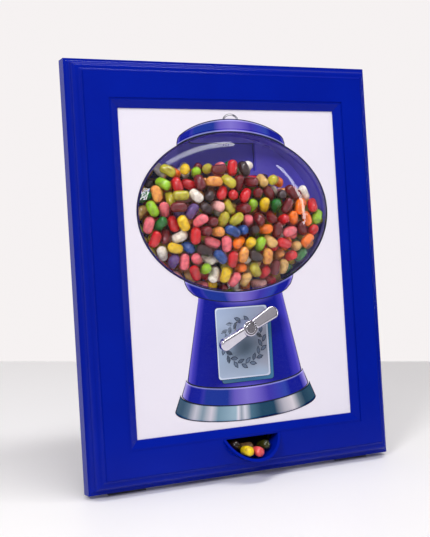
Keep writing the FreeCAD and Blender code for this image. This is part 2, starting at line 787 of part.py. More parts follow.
def build_knob():
    """Two-wing handle with its screw and cap."""
    angle = number("wing_angle")
    foot = doc.addObject("Part::Cone", "knob_foot_cone")
    foot.Placement = Placement(Vector(), Rotation(Vector(1, 0, 0), 90))
    bind(foot, {"Radius1": "knob_foot_radius", "Radius2": "knob_radius", "Height": "knob_height"})
    place(foot, "0", "knob_axis", "knob_foot")
    soft = rounded("knob_hub", foot, 1.4, lambda edge: edge.BoundBox.YMax < -number("knob_top") + 0.1)
    whole = fuse("knob_blank", [soft, knob_wing("wing_right", angle), knob_wing("wing_left", angle + 180)])
    tools = [
        post("knob_bore", "0", "knob_axis", "knob_foot - 1", "shaft_radius + fit_gap", "knob_height - 4.5"),
        post("knob_screw_hole", "0", "knob_axis", "knob_foot", "screw_shank + 0.2", "knob_height"),
        post("knob_recess", "0", "knob_axis", "knob_top - 4.6", "cap_radius + fit_gap", "10"),
    ]
    finish(cut("knob", whole, tools), "knob")
    head = post("knob_screw_head", "0", "knob_axis", "knob_top - 4.6", "screw_head_radius", "screw_head")
    shank = post("knob_screw_body", "0", "knob_axis", "knob_top - 13", "pin_radius", "8.6")
    finish(fuse("knob_screw", [head, shank]), "knob_screw")
    cap = post("knob_cap_disc", "0", "knob_axis", "knob_top - 2", "cap_radius", "cap_thickness")
    edge_at = number("knob_top - 2 + cap_thickness")
    finish(rounded("knob_cap", cap, 0.8, lambda edge: edge.BoundBox.YMax < -edge_at + 0.1), "knob_cap")


# Chute and cup


CHUTE_SPOTS = [("-chute_width / 2 - 7", "80"), ("chute_width / 2 + 7", "80")]


def build_chute():
    """Channel from the wheel housing down and forward to the cup."""
    fall = "(chute_bend - chute_foot) / (chute_front - chute_back)"
    wall = f"chute_wall * sqrt(1 + ({fall}) * ({fall}))"
    outer = side_prism("chute_outer", [
        ("chute_back", "chute_top"), ("chute_back", "chute_bend"), ("chute_front", "chute_foot"),
        ("chute_front", "chute_top")], "-chute_width / 2 - chute_wall", "chute_width + 2 * chute_wall")
    floor = f"chute_bend + {wall}"
    end = "chute_front + 1"
    inner = side_prism("chute_inner", [
        ("hopper_back", "chute_top + 1"), ("hopper_back", f"{floor} - chute_wall * {fall}"),
        (end, f"{floor} - ({end} - chute_back) * {fall}"), (end, "cup_top"),
        ("chute_front - chute_wall", "cup_top"), ("chute_front - chute_wall", "chute_top + 1"),
    ], "-chute_width / 2", "chute_width")
    ears = [block(f"chute_ear_{i}", u, "72", "plate_rear - 2", "13", "16", "2")
            for i, u in enumerate(["-chute_width / 2 - 14", "chute_width / 2 + 1"])]
    tools = [inner] + holes("ear_hole", CHUTE_SPOTS, "plate_rear - 3", "pin_radius + fit_gap", "4")
    finish(cut("chute", fuse("chute_blank", [outer] + ears), tools), "chute")
    screw_group("chute_screws", CHUTE_SPOTS, "plate_rear - 2", "4", shank="pin_radius",
                head_radius="2.4")


def build_cup():
    """Half-round cup that stands out of the bottom rail."""
    length = "rim_foot - cup_back + 2"
    trough = cut("cup_trough", cup_slug("cup_outer_slug", "cup_outer", "cup_back", length),
                 [post("cup_hollow", "0", "cup_centre", "cup_back - 1", "cup_radius", f"{length} + 2")])
    start = "face_depth + rim_start"
    low = "cup_foot - 3"
    mouth = side_prism("cup_mouth", [
        ("cup_back", low), (f"{start} + rim_slope * (cup_top - ({low}))", low),
        (start, "cup_top"), ("cup_back", "cup_top")], "-cup_outer - 4", "2 * cup_outer + 8")
    ears = [block(f"cup_ear_{i}", u, "cup_top - 5", "face_depth - frame_wall - 2.2", "8", "5", "2.2")
            for i, u in enumerate(["-cup_radius - 6.8", "cup_radius - 1.2"])]
    finish(fuse("dispensing_cup", [common("cup_shell", trough, mouth)] + ears), "dispensing_cup")


# Rear cover, refill door and stand


def keyhole(name, sign):
    """Round entry hole with a slot above it for a wall screw."""
    u = f"{sign}keyhole_span / 2"
    entry = post(name + "_entry", u, "keyhole_height", "cover_back - 1", "keyhole_radius", "cover_wall + 2")
    top = post(name + "_top", u, "keyhole_height + keyhole_length", "cover_back - 1", "keyhole_slot",
               "cover_wall + 2")
    slot = block(name + "_slot", f"{u} - keyhole_slot", "keyhole_height", "cover_back - 1",
                 "2 * keyhole_slot", "keyhole_length", "cover_wall + 2")
    return [entry, top, slot]


def build_rear_cover():
    """Back tray with its flange, refill port, keyholes and door lugs."""
    edge = "frame_wall + cover_gap"
    flange = middle_block("cover_flange", edge, "0", f"frame_width - 2 * ({edge})",
                          f"frame_height - 2 * ({edge})", "cover_wall")
    tray = middle_block("cover_tray", "tray_inset", "cover_back", "frame_width - 2 * tray_inset",
                        "frame_height - 2 * tray_inset", "-cover_back + cover_wall / 2")
    rear = number("-cover_back")
    soft = rounded("cover_soft", tray, number("tray_round"), lambda edge: edge.BoundBox.YMax > rear - 0.1)
    lugs = [block(f"door_lug_{i}", u, "door_axis - 3.5", "door_depth - 2.8", "6", "7",
                  "cover_back + 0.5 - door_depth + 2.8")
            for i, u in enumerate(["-port_width / 2 - 1", "port_width / 2 - 5"])]
    inside = "tray_inset + cover_wall"
    tools = [
        middle_block("cover_room", inside, "cover_inside", f"frame_width - 2 * ({inside})",
                     f"frame_height - 2 * ({inside})", "-cover_inside + cover_wall + 1"),
        middle_block("cover_port", "port_low", "cover_back - 1", "port_width", "port_height", "5"),
        rod("lug_hole", "door_axis", "door_depth", "door_pin_radius + fit_gap", "port_width + 20"),
    ]
    tools += keyhole("keyhole_left", "-") + keyhole("keyhole_right", "")
    tools += holes("cover_hole", COVER_SPOTS, "-1", "screw_shank + 0.2", "cover_wall + 2")
    tools += holes("bracket_hole", BRACKET_SPOTS, "cover_back - 1", "screw_shank + fit_gap", "cover_wall + 2")
    finish(cut("rear_cover", fuse("cover_blank", [flange, soft] + lugs), tools), "rear_cover")
    screw_group("rear_cover_screws", COVER_SPOTS, "0", "screw_length")
    screw_group("hopper_screws", HOPPER_SPOTS, "plate_rear", "5.5")


def build_door():
    """Refill flap that swings down about the pin along its lower edge."""
    back = "cover_back - door_gap - door_thickness"
    top = "port_low + port_height + door_margin"
    leaf = middle_block("door_leaf", "port_low - 1", back, "port_width + 2 * door_margin",
                        f"{top} - port_low + 1", "door_thickness")
    corner = number("port_width / 2 + door_margin") - 0.1
    soft = rounded("door_soft", leaf, 3.0, lambda edge: abs(edge.BoundBox.XMin) > corner
                   and edge.BoundBox.ZLength < 0.1 and edge.BoundBox.XLength < 0.1)
    root = middle_block("door_root", "door_axis", back, "port_width - 12", "port_low - door_axis",
                        "door_thickness")
    barrel = rod("door_barrel_rod", "door_axis", "door_depth", "door_barrel", "port_width - 12")
    plug = middle_block("door_plug", "port_low + 0.4", "cover_back - door_gap", "port_width - 0.8",
                        "port_height - 0.8", "2.4")
    tab = middle_block("door_tab", f"{top} - 1", back, "18", "6", "door_thickness - 0.6")
    hole = rod("door_hole", "door_axis", "door_depth", "door_pin_radius + fit_gap", "port_width + 20")
    finish(cut("fill_door", fuse("door_blank", [soft, root, barrel, plug, tab]), [hole]), "fill_door")
    wire = rod("door_wire", "door_axis", "door_depth", "door_pin_radius", "port_width + 4")
    finish(group("door_pin", [wire]), "door_pin")


BRACKET_SPOTS = [("-20", "stand_height - 10.5"), ("20", "stand_height - 10.5"),
                 ("-20", "stand_height + 10.5"), ("20", "stand_height + 10.5")]


def build_bracket():
    """Hinge bracket of the stand with two rounded ears."""
    back = "cover_back - bracket_plate"
    base = middle_block("bracket_base", "stand_height - 14", back, "2 * bracket_half_width", "28",
                        "bracket_plate")
    ears = []
    for i, u in enumerate(["-ear_gap - ear_thickness", "ear_gap"]):
        ears.append(block(f"ear_web_{i}", u, "stand_height - 7", "stand_depth", "ear_thickness", "14",
                          f"{back} - stand_depth"))
        round_end = rod(f"ear_round_{i}", "stand_height", "stand_depth", "7", "ear_thickness")
        bind(round_end, {"Placement.Base.x": u})
        ears.append(round_end)
    tools = [rod("bracket_pin_hole", "stand_height", "stand_depth", "stand_pin_radius + fit_gap", "80")]
    tools += holes("bracket_base_hole", BRACKET_SPOTS, "cover_back - 5", "screw_shank + 0.2", "8")
    finish(cut("stand_bracket", fuse("bracket_blank", [base] + ears), tools), "stand_bracket")
    screw_group("bracket_screws", BRACKET_SPOTS, back, "5.2", head_radius="2.6")
    hinge = rod("hinge_bar", "stand_height", "stand_depth", "stand_pin_radius",
                "2 * ear_gap + 2 * ear_thickness + 2")
    finish(group("stand_pin", [hinge]), "stand_pin")


def build_leg():
    """Folding leg, drawn spread, with its rubber pad flat on the table."""
    length = "(hinge_z / cos(leg_tilt) + 8)"
    tail = "(stand_reach - bracket_plate - 0.2 - leg_thickness / 2 * cos(stand_spread))" \
           " / sin(stand_spread)"
    right = [("12", tail), ("12", "5"), ("16", "5"), ("16", "-16"), ("leg_half_width", f"-{length}")]
    left = [(f"-{u}", v) for u, v in reversed(right)]
    plate = extrude("leg_plate", face_outline("leg_outline", right + left, None, "-leg_thickness / 2"),
                    Vector(0, -1, 0), "leg_thickness")
    knuckle = rod("leg_knuckle_rod", "0", "0", "leg_knuckle", "2 * ear_gap - 0.8")
    slot_low = f"-{length} * 0.72"
    slot_high = f"-{length} * 0.2"
    slots = [
        block("leg_slot", "-8", slot_low, "-leg_thickness", "16", f"{slot_high} - ({slot_low})",
              "2 * leg_thickness"),
        post("leg_slot_low", "0", slot_low, "-leg_thickness", "8", "2 * leg_thickness"),
        post("leg_slot_high", "0", slot_high, "-leg_thickness", "8", "2 * leg_thickness"),
        rod("leg_pin_hole", "0", "0", "stand_pin_radius + fit_gap", "60"),
    ]
    blank = cut("leg_blank", fuse("leg_body", [plate, knuckle]), slots)
    blank.Placement = Placement(Vector(), Rotation(Vector(1, 0, 0), number("leg_tilt")))
    bind(blank, {"Placement.Base.y": "hinge_y + centre_shift", "Placement.Base.z": "hinge_z",
                 "Placement.Rotation.Angle": "leg_tilt"})
    floor = doc.addObject("Part::Box", "leg_floor")
    bind(floor, {"Length": "400", "Width": "400", "Height": "60 + pad_height", "Placement.Base.x": "-200",
                 "Placement.Base.y": "pad_y + centre_shift - 200", "Placement.Base.z": "-60"})
    finish_standing(cut("stand_leg", blank, [floor]), "stand_leg")
    pad_block = doc.addObject("Part::Box", "pad_block")
    bind(pad_block, {"Length": "2 * leg_half_width + 4", "Width": "pad_depth", "Height": "pad_height",
                     "Placement.Base.x": "-leg_half_width - 2", "Placement.Base.z": "0",
                     "Placement.Base.y": "pad_y + centre_shift - pad_depth / 2"})
    upright = rounded("stand_foot", pad_block, 4.0, lambda edge: edge.BoundBox.ZLength > 1)
    finish_standing(upright, "stand_foot")


def build_feet():
    """Two wedge pads that bring the leaning frame flat onto the table."""
    drop = "-(foot_lift + {0} * sin(lean_angle)) / cos(lean_angle)"
    near, far = "foot_depth", "1"
    points = [(far, "0"), (far, drop.format(far)), (near, drop.format(f"({near})")), (near, "0")]
    pads = [side_prism(f"front_pad_{i}", points, u, "foot_width")
            for i, u in enumerate(["-foot_offset - foot_width / 2", "foot_offset - foot_width / 2"])]
    finish(group("front_feet", pads), "front_feet")


# Beans


def bean_solid():
    """One bean about the origin, its long way along Z: barrel side and round ends."""
    half, radius, end = number("bean_length / 2"), number("bean_radius"), number("bean_end_radius")
    middle = half - end
    side = (middle * middle + radius * radius - end * end) / (2 * (radius - end))
    share = side / math.hypot(middle, side - radius)
    join = Vector(share * (side - radius) + radius - side, 0, share * middle)
    low = Vector(join.x, 0, -join.z)
    tip = math.sqrt(0.5) * end
    edges = [
        Part.Arc(Vector(0, 0, -half), Vector(tip, 0, -middle - tip), low).toShape(),
        Part.Arc(low, Vector(radius, 0, 0), join).toShape(),
        Part.Arc(join, Vector(tip, 0, middle + tip), Vector(0, 0, half)).toShape(),
        Part.LineSegment(Vector(0, 0, half), Vector(0, 0, -half)).toShape(),
    ]
    return Part.Face(Part.Wire(edges)).revolve(Vector(), Vector(0, 0, 1), 360)


def bean_node(label, beans):
    """One node of separate beans from their end points."""
    pattern = bean_solid()
    solids = []
    for first, second in beans:
        copy = pattern.copy()
        middle = [(a + b) / 2 for a, b in zip(first, second)]
        way = Vector(first[0] - second[0], second[2] - first[2], first[1] - second[1])
        copy.Placement = Placement(Vector(middle[0], -middle[2], middle[1]), Rotation(Vector(0, 0, 1), way))
        solids.append(copy)
    node = doc.addObject("Part::Feature", label)
    node.Shape = Part.makeCompound(solids)
    finish(node, label)


def segment_gap(first, second):
    """Closest points of two bean cores: share along each and the vector between."""
    (p, q), (r, s) = first, second
    dx, dy, dz = q[0] - p[0], q[1] - p[1], q[2] - p[2]
    ex, ey, ez = s[0] - r[0], s[1] - r[1], s[2] - r[2]
    hx, hy, hz = p[0] - r[0], p[1] - r[1], p[2] - r[2]
    a = dx * dx + dy * dy + dz * dz
    e = ex * ex + ey * ey + ez * ez
    b = dx * ex + dy * ey + dz * ez
    c = dx * hx + dy * hy + dz * hz
    f = ex * hx + ey * hy + ez * hz
    room = a * e - b * b
    along = min(max((b * f - c * e) / room, 0.0), 1.0) if room > 1e-9 else 0.5
    other = (b * along + f) / e
    if not 0.0 <= other <= 1.0:
        other = min(max(other, 0.0), 1.0)
        along = min(max((b * other - c) / a, 0.0), 1.0)
    gap = (hx + dx * along - ex * other, hy + dy * along - ey * other, hz + dz * along - ez * other)
    return along, other, gap


class BeanPile:
    """Beans shaken down in the hopper until none touches another."""

    def __init__(self):
        self.reach = number("bean_radius + bean_gap / 2")
        self.core = number("bean_length - 2 * bean_radius")
        self.centre = number("globe_centre")
        self.back = number("hopper_back") + self.reach + 0.2
        self.flat = number("plate_front") - self.reach - 0.2
        margin = number("cavity_margin") - self.reach - 0.2
        self.bin = (number("globe_half_width") + margin, number("globe_half_height") + margin)
        neck = number("tube_wall") + self.reach + 0.35
        self.neck = (number("globe_half_width") - neck, number("globe_half_height") - neck)
        shell = number("dome_wall") + self.reach + 1.1
        self.dome = (number("globe_half_width / dome_scale") - shell,
                     number("globe_half_height / dome_scale") - shell, number("dome_depth") - shell)
        self.dome_at = number("dome_origin")
        self.throat = number("throat_width / 2") - self.reach - 0.2
        self.plate = number("plate_rear") - self.reach - 0.2
        self.axis = number("knob_axis")
        self.wheel = number("wheel_radius") + self.reach + 0.6
        self.random = random.Random(7)
        self.beans = []

    def top(self, u):
        """Height of the heap at one place across the globe."""
        turn = math.tanh((u - number("pile_turn")) / number("pile_blend"))
        return number("pile_height") - number("pile_step") * turn

    def sow(self, pitch):
        """Scatter beans on a loose grid below the top of the heap."""
        wide, high = self.bin
        rows = int(2 * high / pitch) + 3
        for k in range(int((self.dome_at + self.dome[2] - self.back) / pitch) + 2):
            for j in range(rows):
                for i in range(-int(wide / pitch) - 1, int(wide / pitch) + 2):
                    u = (i + 0.5 * ((j + k) % 2)) * pitch
                    v = self.centre - high - 4 + j * pitch * 0.93
                    w = self.back + k * pitch * 0.93
                    if v < self.top(u) and self.inside((u, v, w)):
                        self.drop(u, v, w, pitch)

    def inside(self, spot):
        """Tell whether a bean's end may lie at this spot."""
        return math.dist(spot, self.held(list(spot))) < 1.5

    def drop(self, u, v, w, pitch):
        """Add one bean at a random angle near a spot."""
        shake = self.random
        way = [shake.gauss(0, 1) for _ in range(3)]
        size = math.hypot(*way) or 1.0
        half = [self.core / 2 * x / size for x in way]
        spot = [c + shake.uniform(-0.18, 0.18) * pitch for c in (u, v, w)]
        self.beans.append(([s + h for s, h in zip(spot, half)], [s - h for s, h in zip(spot, half)]))

    def held(self, spot):
        """Bring one bean end back inside the walls."""
        u, v, w = spot
        w = max(w, self.back)
        rise = v - self.centre
        if w > self.flat:
            u, rise, w = self.behind_window(u, rise, w)
        round_bin = (u / self.bin[0]) ** 2 + (rise / self.bin[1]) ** 2
        if round_bin > 1:
            if rise < 0 and abs(u) <= self.throat and w <= self.flat:
                floor = self.axis - self.centre + math.sqrt(max(self.wheel ** 2 - u * u, 0.0))
                rise, w = max(rise, floor), min(w, self.plate)
            else:
                scale = 1 / math.sqrt(round_bin)
                u, rise = u * scale, rise * scale
        return [u, rise + self.centre, w]

    def behind_window(self, u, rise, w):
        """Keep one bean end inside the neck of the window and under its dome."""
        round_neck = (u / self.neck[0]) ** 2 + (rise / self.neck[1]) ** 2
        if round_neck > 1:
            scale = 1 / math.sqrt(round_neck)
            if math.hypot(u, rise) * (1 - scale) > w - self.flat:
                return u, rise, self.flat
            u, rise = u * scale, rise * scale
        deep = (w - self.dome_at) / self.dome[2]
        far = (u / self.dome[0]) ** 2 + (rise / self.dome[1]) ** 2 + deep * deep
        if far > 1:
            scale = 1 / math.sqrt(far)
            u, rise, w = u * scale, rise * scale, self.dome_at + (w - self.dome_at) * scale
        return u, rise, w

    def near_pairs(self, reach):
        """Pairs of beans whose middles are within reach."""
        cells = {}
        middles = [tuple((a + b) / 2 for a, b in zip(*bean)) for bean in self.beans]
        for index, middle in enumerate(middles):
            cells.setdefault(tuple(int(c // reach) for c in middle), []).append(index)
        pairs = []
        steps = [(i, j, k) for i in (-1, 0, 1) for j in (-1, 0, 1) for k in (-1, 0, 1)]
        for (x, y, z), members in cells.items():
            around = [n for i, j, k in steps for n in cells.get((x + i, y + j, z + k), [])]
            for one in members:
                for two in around:
                    if one < two and math.dist(middles[one], middles[two]) < reach:
                        pairs.append((one, two))
        return pairs

    def part_pair(self, one, two, wanted):
        """Push one pair apart; give how far it overlapped."""
        first, second = self.beans[one], self.beans[two]
        along, other, gap = segment_gap(first, second)
        size = math.hypot(*gap)
        if size >= wanted:
            return 0.0
        push = [(wanted - size) / 2 * g / size for g in gap] if size > 1e-6 else [0.1, 0.2, 0.1]
        for share, bean, sign in ((along, first, 1), (other, second, -1)):
            for weight, end in ((1 - share, bean[0]), (share, bean[1])):
                for axis in range(3):
                    end[axis] += sign * push[axis] * (0.35 + 0.65 * weight)
        return wanted - size

    def shake(self, rounds, fall):
        """Let the beans fall a little and part them, round by round."""
        wanted = 2 * self.reach
        for count in range(rounds):
            if count % 6 == 0:
                pairs = self.near_pairs(wanted + self.core + 2)
            for bean in self.beans:
                bean[0][1] -= fall
                bean[1][1] -= fall
            for one, two in pairs:
                self.part_pair(one, two, wanted)
            for bean in self.beans:
                self.settle(bean)

    def settle(self, bean):
        """Hold the middle and both ends of one bean inside the walls at their true distance."""
        middle = [(a + b) / 2 for a, b in zip(*bean)]
        shift = [a - b for a, b in zip(self.held(list(middle)), middle)]
        for end in bean:
            end[:] = self.held([a + b for a, b in zip(end, shift)])
        size = math.dist(*bean)
        for axis in range(3):
            middle = (bean[0][axis] + bean[1][axis]) / 2
            half = (bean[0][axis] - bean[1][axis]) / 2 * self.core / size
            bean[0][axis], bean[1][axis] = middle + half, middle - half

    def stray(self, bean):
        """How far one bean reaches past the walls anywhere along its length."""
        spots = [[a + (b - a) * step / 6 for a, b in zip(*bean)] for step in range(7)]
        return max(math.dist(spot, self.held(list(spot))) for spot in spots)

    def thin(self):
        """Take out each bean that still touches a wall or an earlier bean."""
        wanted = 2 * self.reach - 0.12
        loose = {i for i, bean in enumerate(self.beans) if self.stray(bean) > 0.12}
        for one, two in self.near_pairs(wanted + self.core + 2):
            if one in loose or two in loose:
                continue
            if math.hypot(*segment_gap(self.beans[one], self.beans[two])[2]) < wanted:
                loose.add(two)
        self.beans = [bean for i, bean in enumerate(self.beans) if i not in loose]
        return len(loose)


def build_beans():
    """Heap behind the window and the beans let out into the cup."""
    pile = BeanPile()
    pile.sow(number("bean_pitch"))
    started = len(pile.beans)
    pile.shake(30, 0.15)
    pile.shake(80, 0.0)
    print("beans", started, "taken out", pile.thin())
    bean_node("jelly_beans", pile.beans)
    half = number("bean_length / 2 - bean_radius")
    cup_beans = []
    for u, v, w, turn, rise in CUP_BEANS:
        way = (math.cos(rise) * math.cos(turn), math.sin(rise), math.cos(rise) * math.sin(turn))
        spot = (u, v, w)
        cup_beans.append(([s + half * d for s, d in zip(spot, way)], [s - half * d for s, d in zip(spot, way)]))
    bean_node("cup_beans", cup_beans)


# Cup beans: middle, turn about the upright and rise, in radians
CUP_BEANS = [
    (-9.0, 24.0, 31.2, 1.5, 0.0),
    (2.0, 22.2, 31.4, 1.62, 0.0),
    (-3.2, 25.3, 17.3, 0.1, 0.0),
    (12.9, 26.05, 23.2, 1.4, 0.15),
    (-16.8, 29.2, 19.2, 1.5, 0.0),
]


def main():
    """Build, check and export every piece."""
    fill_sheet()
    build_front_frame()
    build_panel()
    build_label()
    build_window()
    build_hopper()
    build_drum_cover()
    build_wheel()
    build_drive()
    build_knob()
    build_chute()
    build_cup()
    build_rear_cover()
    build_door()
    build_bracket()
    build_leg()
    build_feet()
    build_beans()
    doc.recompute()
    os.makedirs("parts", exist_ok=True)
    faults = [thing.Name for thing in doc.Objects if "Invalid" in thing.State or "Error" in thing.State]
    for node in nodes:
        shape = node.Shape
        solids = shape.Solids
        if not solids or not shape.isValid() or min(s.Volume for s in solids) <= 0:
            faults.append(node.Label)
        print(node.Label, len(solids), round(shape.Volume, 1), shape.BoundBox)
        shape.exportStep(f"parts/{node.Label}.step")
    if faults:
        raise RuntimeError("faulty pieces: " + ", ".join(faults))


main()
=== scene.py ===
"""Dressed model of a leaning picture-frame candy dispenser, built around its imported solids.

Pieces are modelled upright, with X across, Z up the frame and -Y towards the viewer,
and are then leaned back to where the solids stand.
"""

import enum
import logging
import math
import random
from contextlib import contextmanager
from dataclasses import dataclass
from typing import Callable, Iterator, Sequence

import bmesh
import bpy
import numpy as np
from mathutils import Matrix, Vector


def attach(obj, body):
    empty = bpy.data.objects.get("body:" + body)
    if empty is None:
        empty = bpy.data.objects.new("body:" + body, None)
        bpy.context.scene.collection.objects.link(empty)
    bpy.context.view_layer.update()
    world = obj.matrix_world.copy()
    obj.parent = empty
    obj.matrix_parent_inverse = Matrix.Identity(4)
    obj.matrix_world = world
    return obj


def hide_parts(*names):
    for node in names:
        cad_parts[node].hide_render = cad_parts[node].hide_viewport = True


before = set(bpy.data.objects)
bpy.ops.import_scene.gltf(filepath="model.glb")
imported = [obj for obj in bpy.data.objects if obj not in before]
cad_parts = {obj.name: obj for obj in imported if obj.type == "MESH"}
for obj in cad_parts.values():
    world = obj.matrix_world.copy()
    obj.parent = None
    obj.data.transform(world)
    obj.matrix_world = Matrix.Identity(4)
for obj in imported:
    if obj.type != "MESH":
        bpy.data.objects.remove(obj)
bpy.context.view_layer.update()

LOG = logging.getLogger("candy_frame")
MM = 0.001
UPRIGHT = (math.pi / 2, 0.0, 0.0)
ORIGIN = (0.0, 0.0, 0.0)
PANEL_FRONT = 20.6
KNOB_AXIS = 137.5
Tone = tuple[int, int, int]
Stops = tuple[tuple[float, Tone], ...]
Triple = tuple[float, float, float]


def linear(tone: Tone) -> tuple[float, float, float, float]:
    """Turns a screen colour into the linear colour that shaders take.

    Args:
        tone: Red, green and blue from 0 to 255.

    Returns:
        Linear red, green, blue and a full alpha.
    """
    parts = [c / 255.0 for c in tone]
    lit = [c / 12.92 if c <= 0.04045 else ((c + 0.055) / 1.055) ** 2.4 for c in parts]
    return (lit[0], lit[1], lit[2], 1.0)


class Body(enum.Enum):
    """Bodies that the new pieces ride on."""

    MACHINE = "machine"


class Element(enum.Enum):
    """Kinds of element that can be picked on a mesh."""

    POINT = "VERT"
    EDGE = "EDGE"
    FACE = "FACE"


@dataclass(frozen=True)
class Lean:
    """Lean of the frame and the place of its bottom rear edge."""

    angle: float = math.radians(8.0)
    shift: float = -33.43 * MM
    lift: float = 2.0 * MM

    def matrix(self) -> Matrix:
        """Gives the move from the upright bench to the leaning frame."""
        return Matrix.Translation((0.0, self.shift, self.lift)) @ Matrix.Rotation(-self.angle, 4, "X")


LEAN = Lean()


class Bench:
    """Modeller's bench: picks, shapes and finishes meshes with operators."""

    @staticmethod
    def only(obj: bpy.types.Object) -> None:
        """Makes one object the active and only selected one."""
        bpy.ops.object.select_all(action="DESELECT")
        obj.select_set(True)
        bpy.context.view_layer.objects.active = obj

    @staticmethod
    def named(name: str) -> bpy.types.Object:
        """Names the fresh primitive and returns it."""
        obj = bpy.context.object
        obj.name = name
        obj.data.name = name
        return obj

    @staticmethod
    def circle(name: str, points: int, radius: float = 1.0, fill: str = "NOTHING") -> bpy.types.Object:
        """Adds an upright circle on the origin, with its turn applied.

        Args:
            name: Name of the new object.
            points: How many points it has.
            radius: Radius in metres.
            fill: NOTHING for a loop or NGON for a disc.

        Returns:
            The new object.
        """
        bpy.ops.object.select_all(action="DESELECT")
        bpy.ops.mesh.primitive_circle_add(vertices=points, radius=radius, fill_type=fill, rotation=UPRIGHT)
        return Bench.settle(Bench.named(name))

    @staticmethod
    @contextmanager
    def editing(obj: bpy.types.Object) -> Iterator[None]:
        """Opens an object's mesh for editing with nothing selected."""
        Bench.only(obj)
        bpy.ops.object.mode_set(mode="EDIT")
        bpy.ops.mesh.select_all(action="DESELECT")
        yield
        bpy.ops.object.mode_set(mode="OBJECT")

    @staticmethod
    def pick(obj: bpy.types.Object, kind: Element, test: Callable[..., bool]) -> int:
        """Selects the elements of an open mesh that pass a test.

        Args:
            obj: Object whose mesh is open for editing.
            kind: Kind of element to look at.
            test: Takes one element and says whether it is picked.

        Returns:
            How many elements are picked.
        """
        bpy.ops.mesh.select_mode(type=kind.value)
        bpy.ops.mesh.select_all(action="DESELECT")
        mesh = bmesh.from_edit_mesh(obj.data)
        items = {Element.POINT: mesh.verts, Element.EDGE: mesh.edges, Element.FACE: mesh.faces}[kind]
        chosen = [item for item in items if test(item)]
        for item in chosen:
            item.select_set(True)
        mesh.select_flush_mode()
        bmesh.update_edit_mesh(obj.data)
        return len(chosen)

    @staticmethod
    def applied(obj: bpy.types.Object, kind: str, **settings: object) -> bpy.types.Object:
        """Adds one modifier with its settings and applies it.

        Args:
            obj: Object to work on.
            kind: Modifier type.
            settings: Values of the modifier's fields.

        Returns:
            The same object.
        """
        Bench.only(obj)
        modifier = obj.modifiers.new(kind.lower(), kind)
        for key, value in settings.items():
            setattr(modifier, key, value)
        bpy.ops.object.modifier_apply(modifier=modifier.name)
        return obj

    @staticmethod
    def settle(obj: bpy.types.Object) -> bpy.types.Object:
        """Applies the object's own place, turn and scale to its mesh."""
        Bench.only(obj)
        bpy.ops.object.transform_apply(location=True, rotation=True, scale=True)
        return obj

    @staticmethod
    def lean(obj: bpy.types.Object) -> bpy.types.Object:
        """Leans an upright piece back into the part's frame."""
        Bench.settle(obj)
        obj.matrix_world = LEAN.matrix()
        return Bench.settle(obj)

    @staticmethod
    def smooth(obj: bpy.types.Object, angle: float = 35.0) -> bpy.types.Object:
        """Shades a piece smooth up to an edge angle in degrees."""
        Bench.only(obj)
        bpy.ops.object.shade_smooth_by_angle(angle=math.radians(angle))
        return obj

    @staticmethod
    def outward(obj: bpy.types.Object) -> bpy.types.Object:
        """Merges doubles and turns every face outwards."""
        with Bench.editing(obj):
            bpy.ops.mesh.select_all(action="SELECT")
            bpy.ops.mesh.remove_doubles(threshold=1e-6)
            bpy.ops.mesh.normals_make_consistent(inside=False)
        return obj

    @staticmethod
    def joined(pieces: Sequence[bpy.types.Object], name: str) -> bpy.types.Object:
        """Joins several objects into one named piece."""
        Bench.only(pieces[0])
        for piece in pieces:
            piece.select_set(True)
        bpy.ops.object.join()
        return Bench.named(name)

    @staticmethod
    def copy(obj: bpy.types.Object, place: Matrix) -> bpy.types.Object:
        """Copies an object with its own mesh to a new place."""
        twin = obj.copy()
        twin.data = obj.data.copy()
        twin.matrix_world = place
        bpy.context.scene.collection.objects.link(twin)
        return twin

    @staticmethod
    def discard(obj: bpy.types.Object) -> None:
        """Removes a helper object."""
        bpy.data.objects.remove(obj, do_unlink=True)


def loose_solids(node: bpy.types.Object) -> list[np.ndarray]:
    """Splits a node into the points of its separate solids.

    Args:
        node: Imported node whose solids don't touch.

    Returns:
        One array of points for each solid, in the order of its first point.
    """
    mesh = node.data
    points = np.empty(len(mesh.vertices) * 3)
    mesh.vertices.foreach_get("co", points)
    points, index = np.unique(points.reshape(-1, 3).round(7), axis=0, return_inverse=True)
    edges = np.empty(len(mesh.edges) * 2, np.int32)
    mesh.edges.foreach_get("vertices", edges)
    first, second = index.reshape(-1)[edges.reshape(-1, 2)].T
    label = np.arange(len(points))
    while True:
        low = np.minimum(label[first], label[second])
        fresh = label.copy()
        np.minimum.at(fresh, first, low)
        np.minimum.at(fresh, second, low)
        fresh = fresh[fresh]
        if np.array_equal(fresh, label):
            return [points[label == mark] for mark in np.unique(label)]
        label = fresh


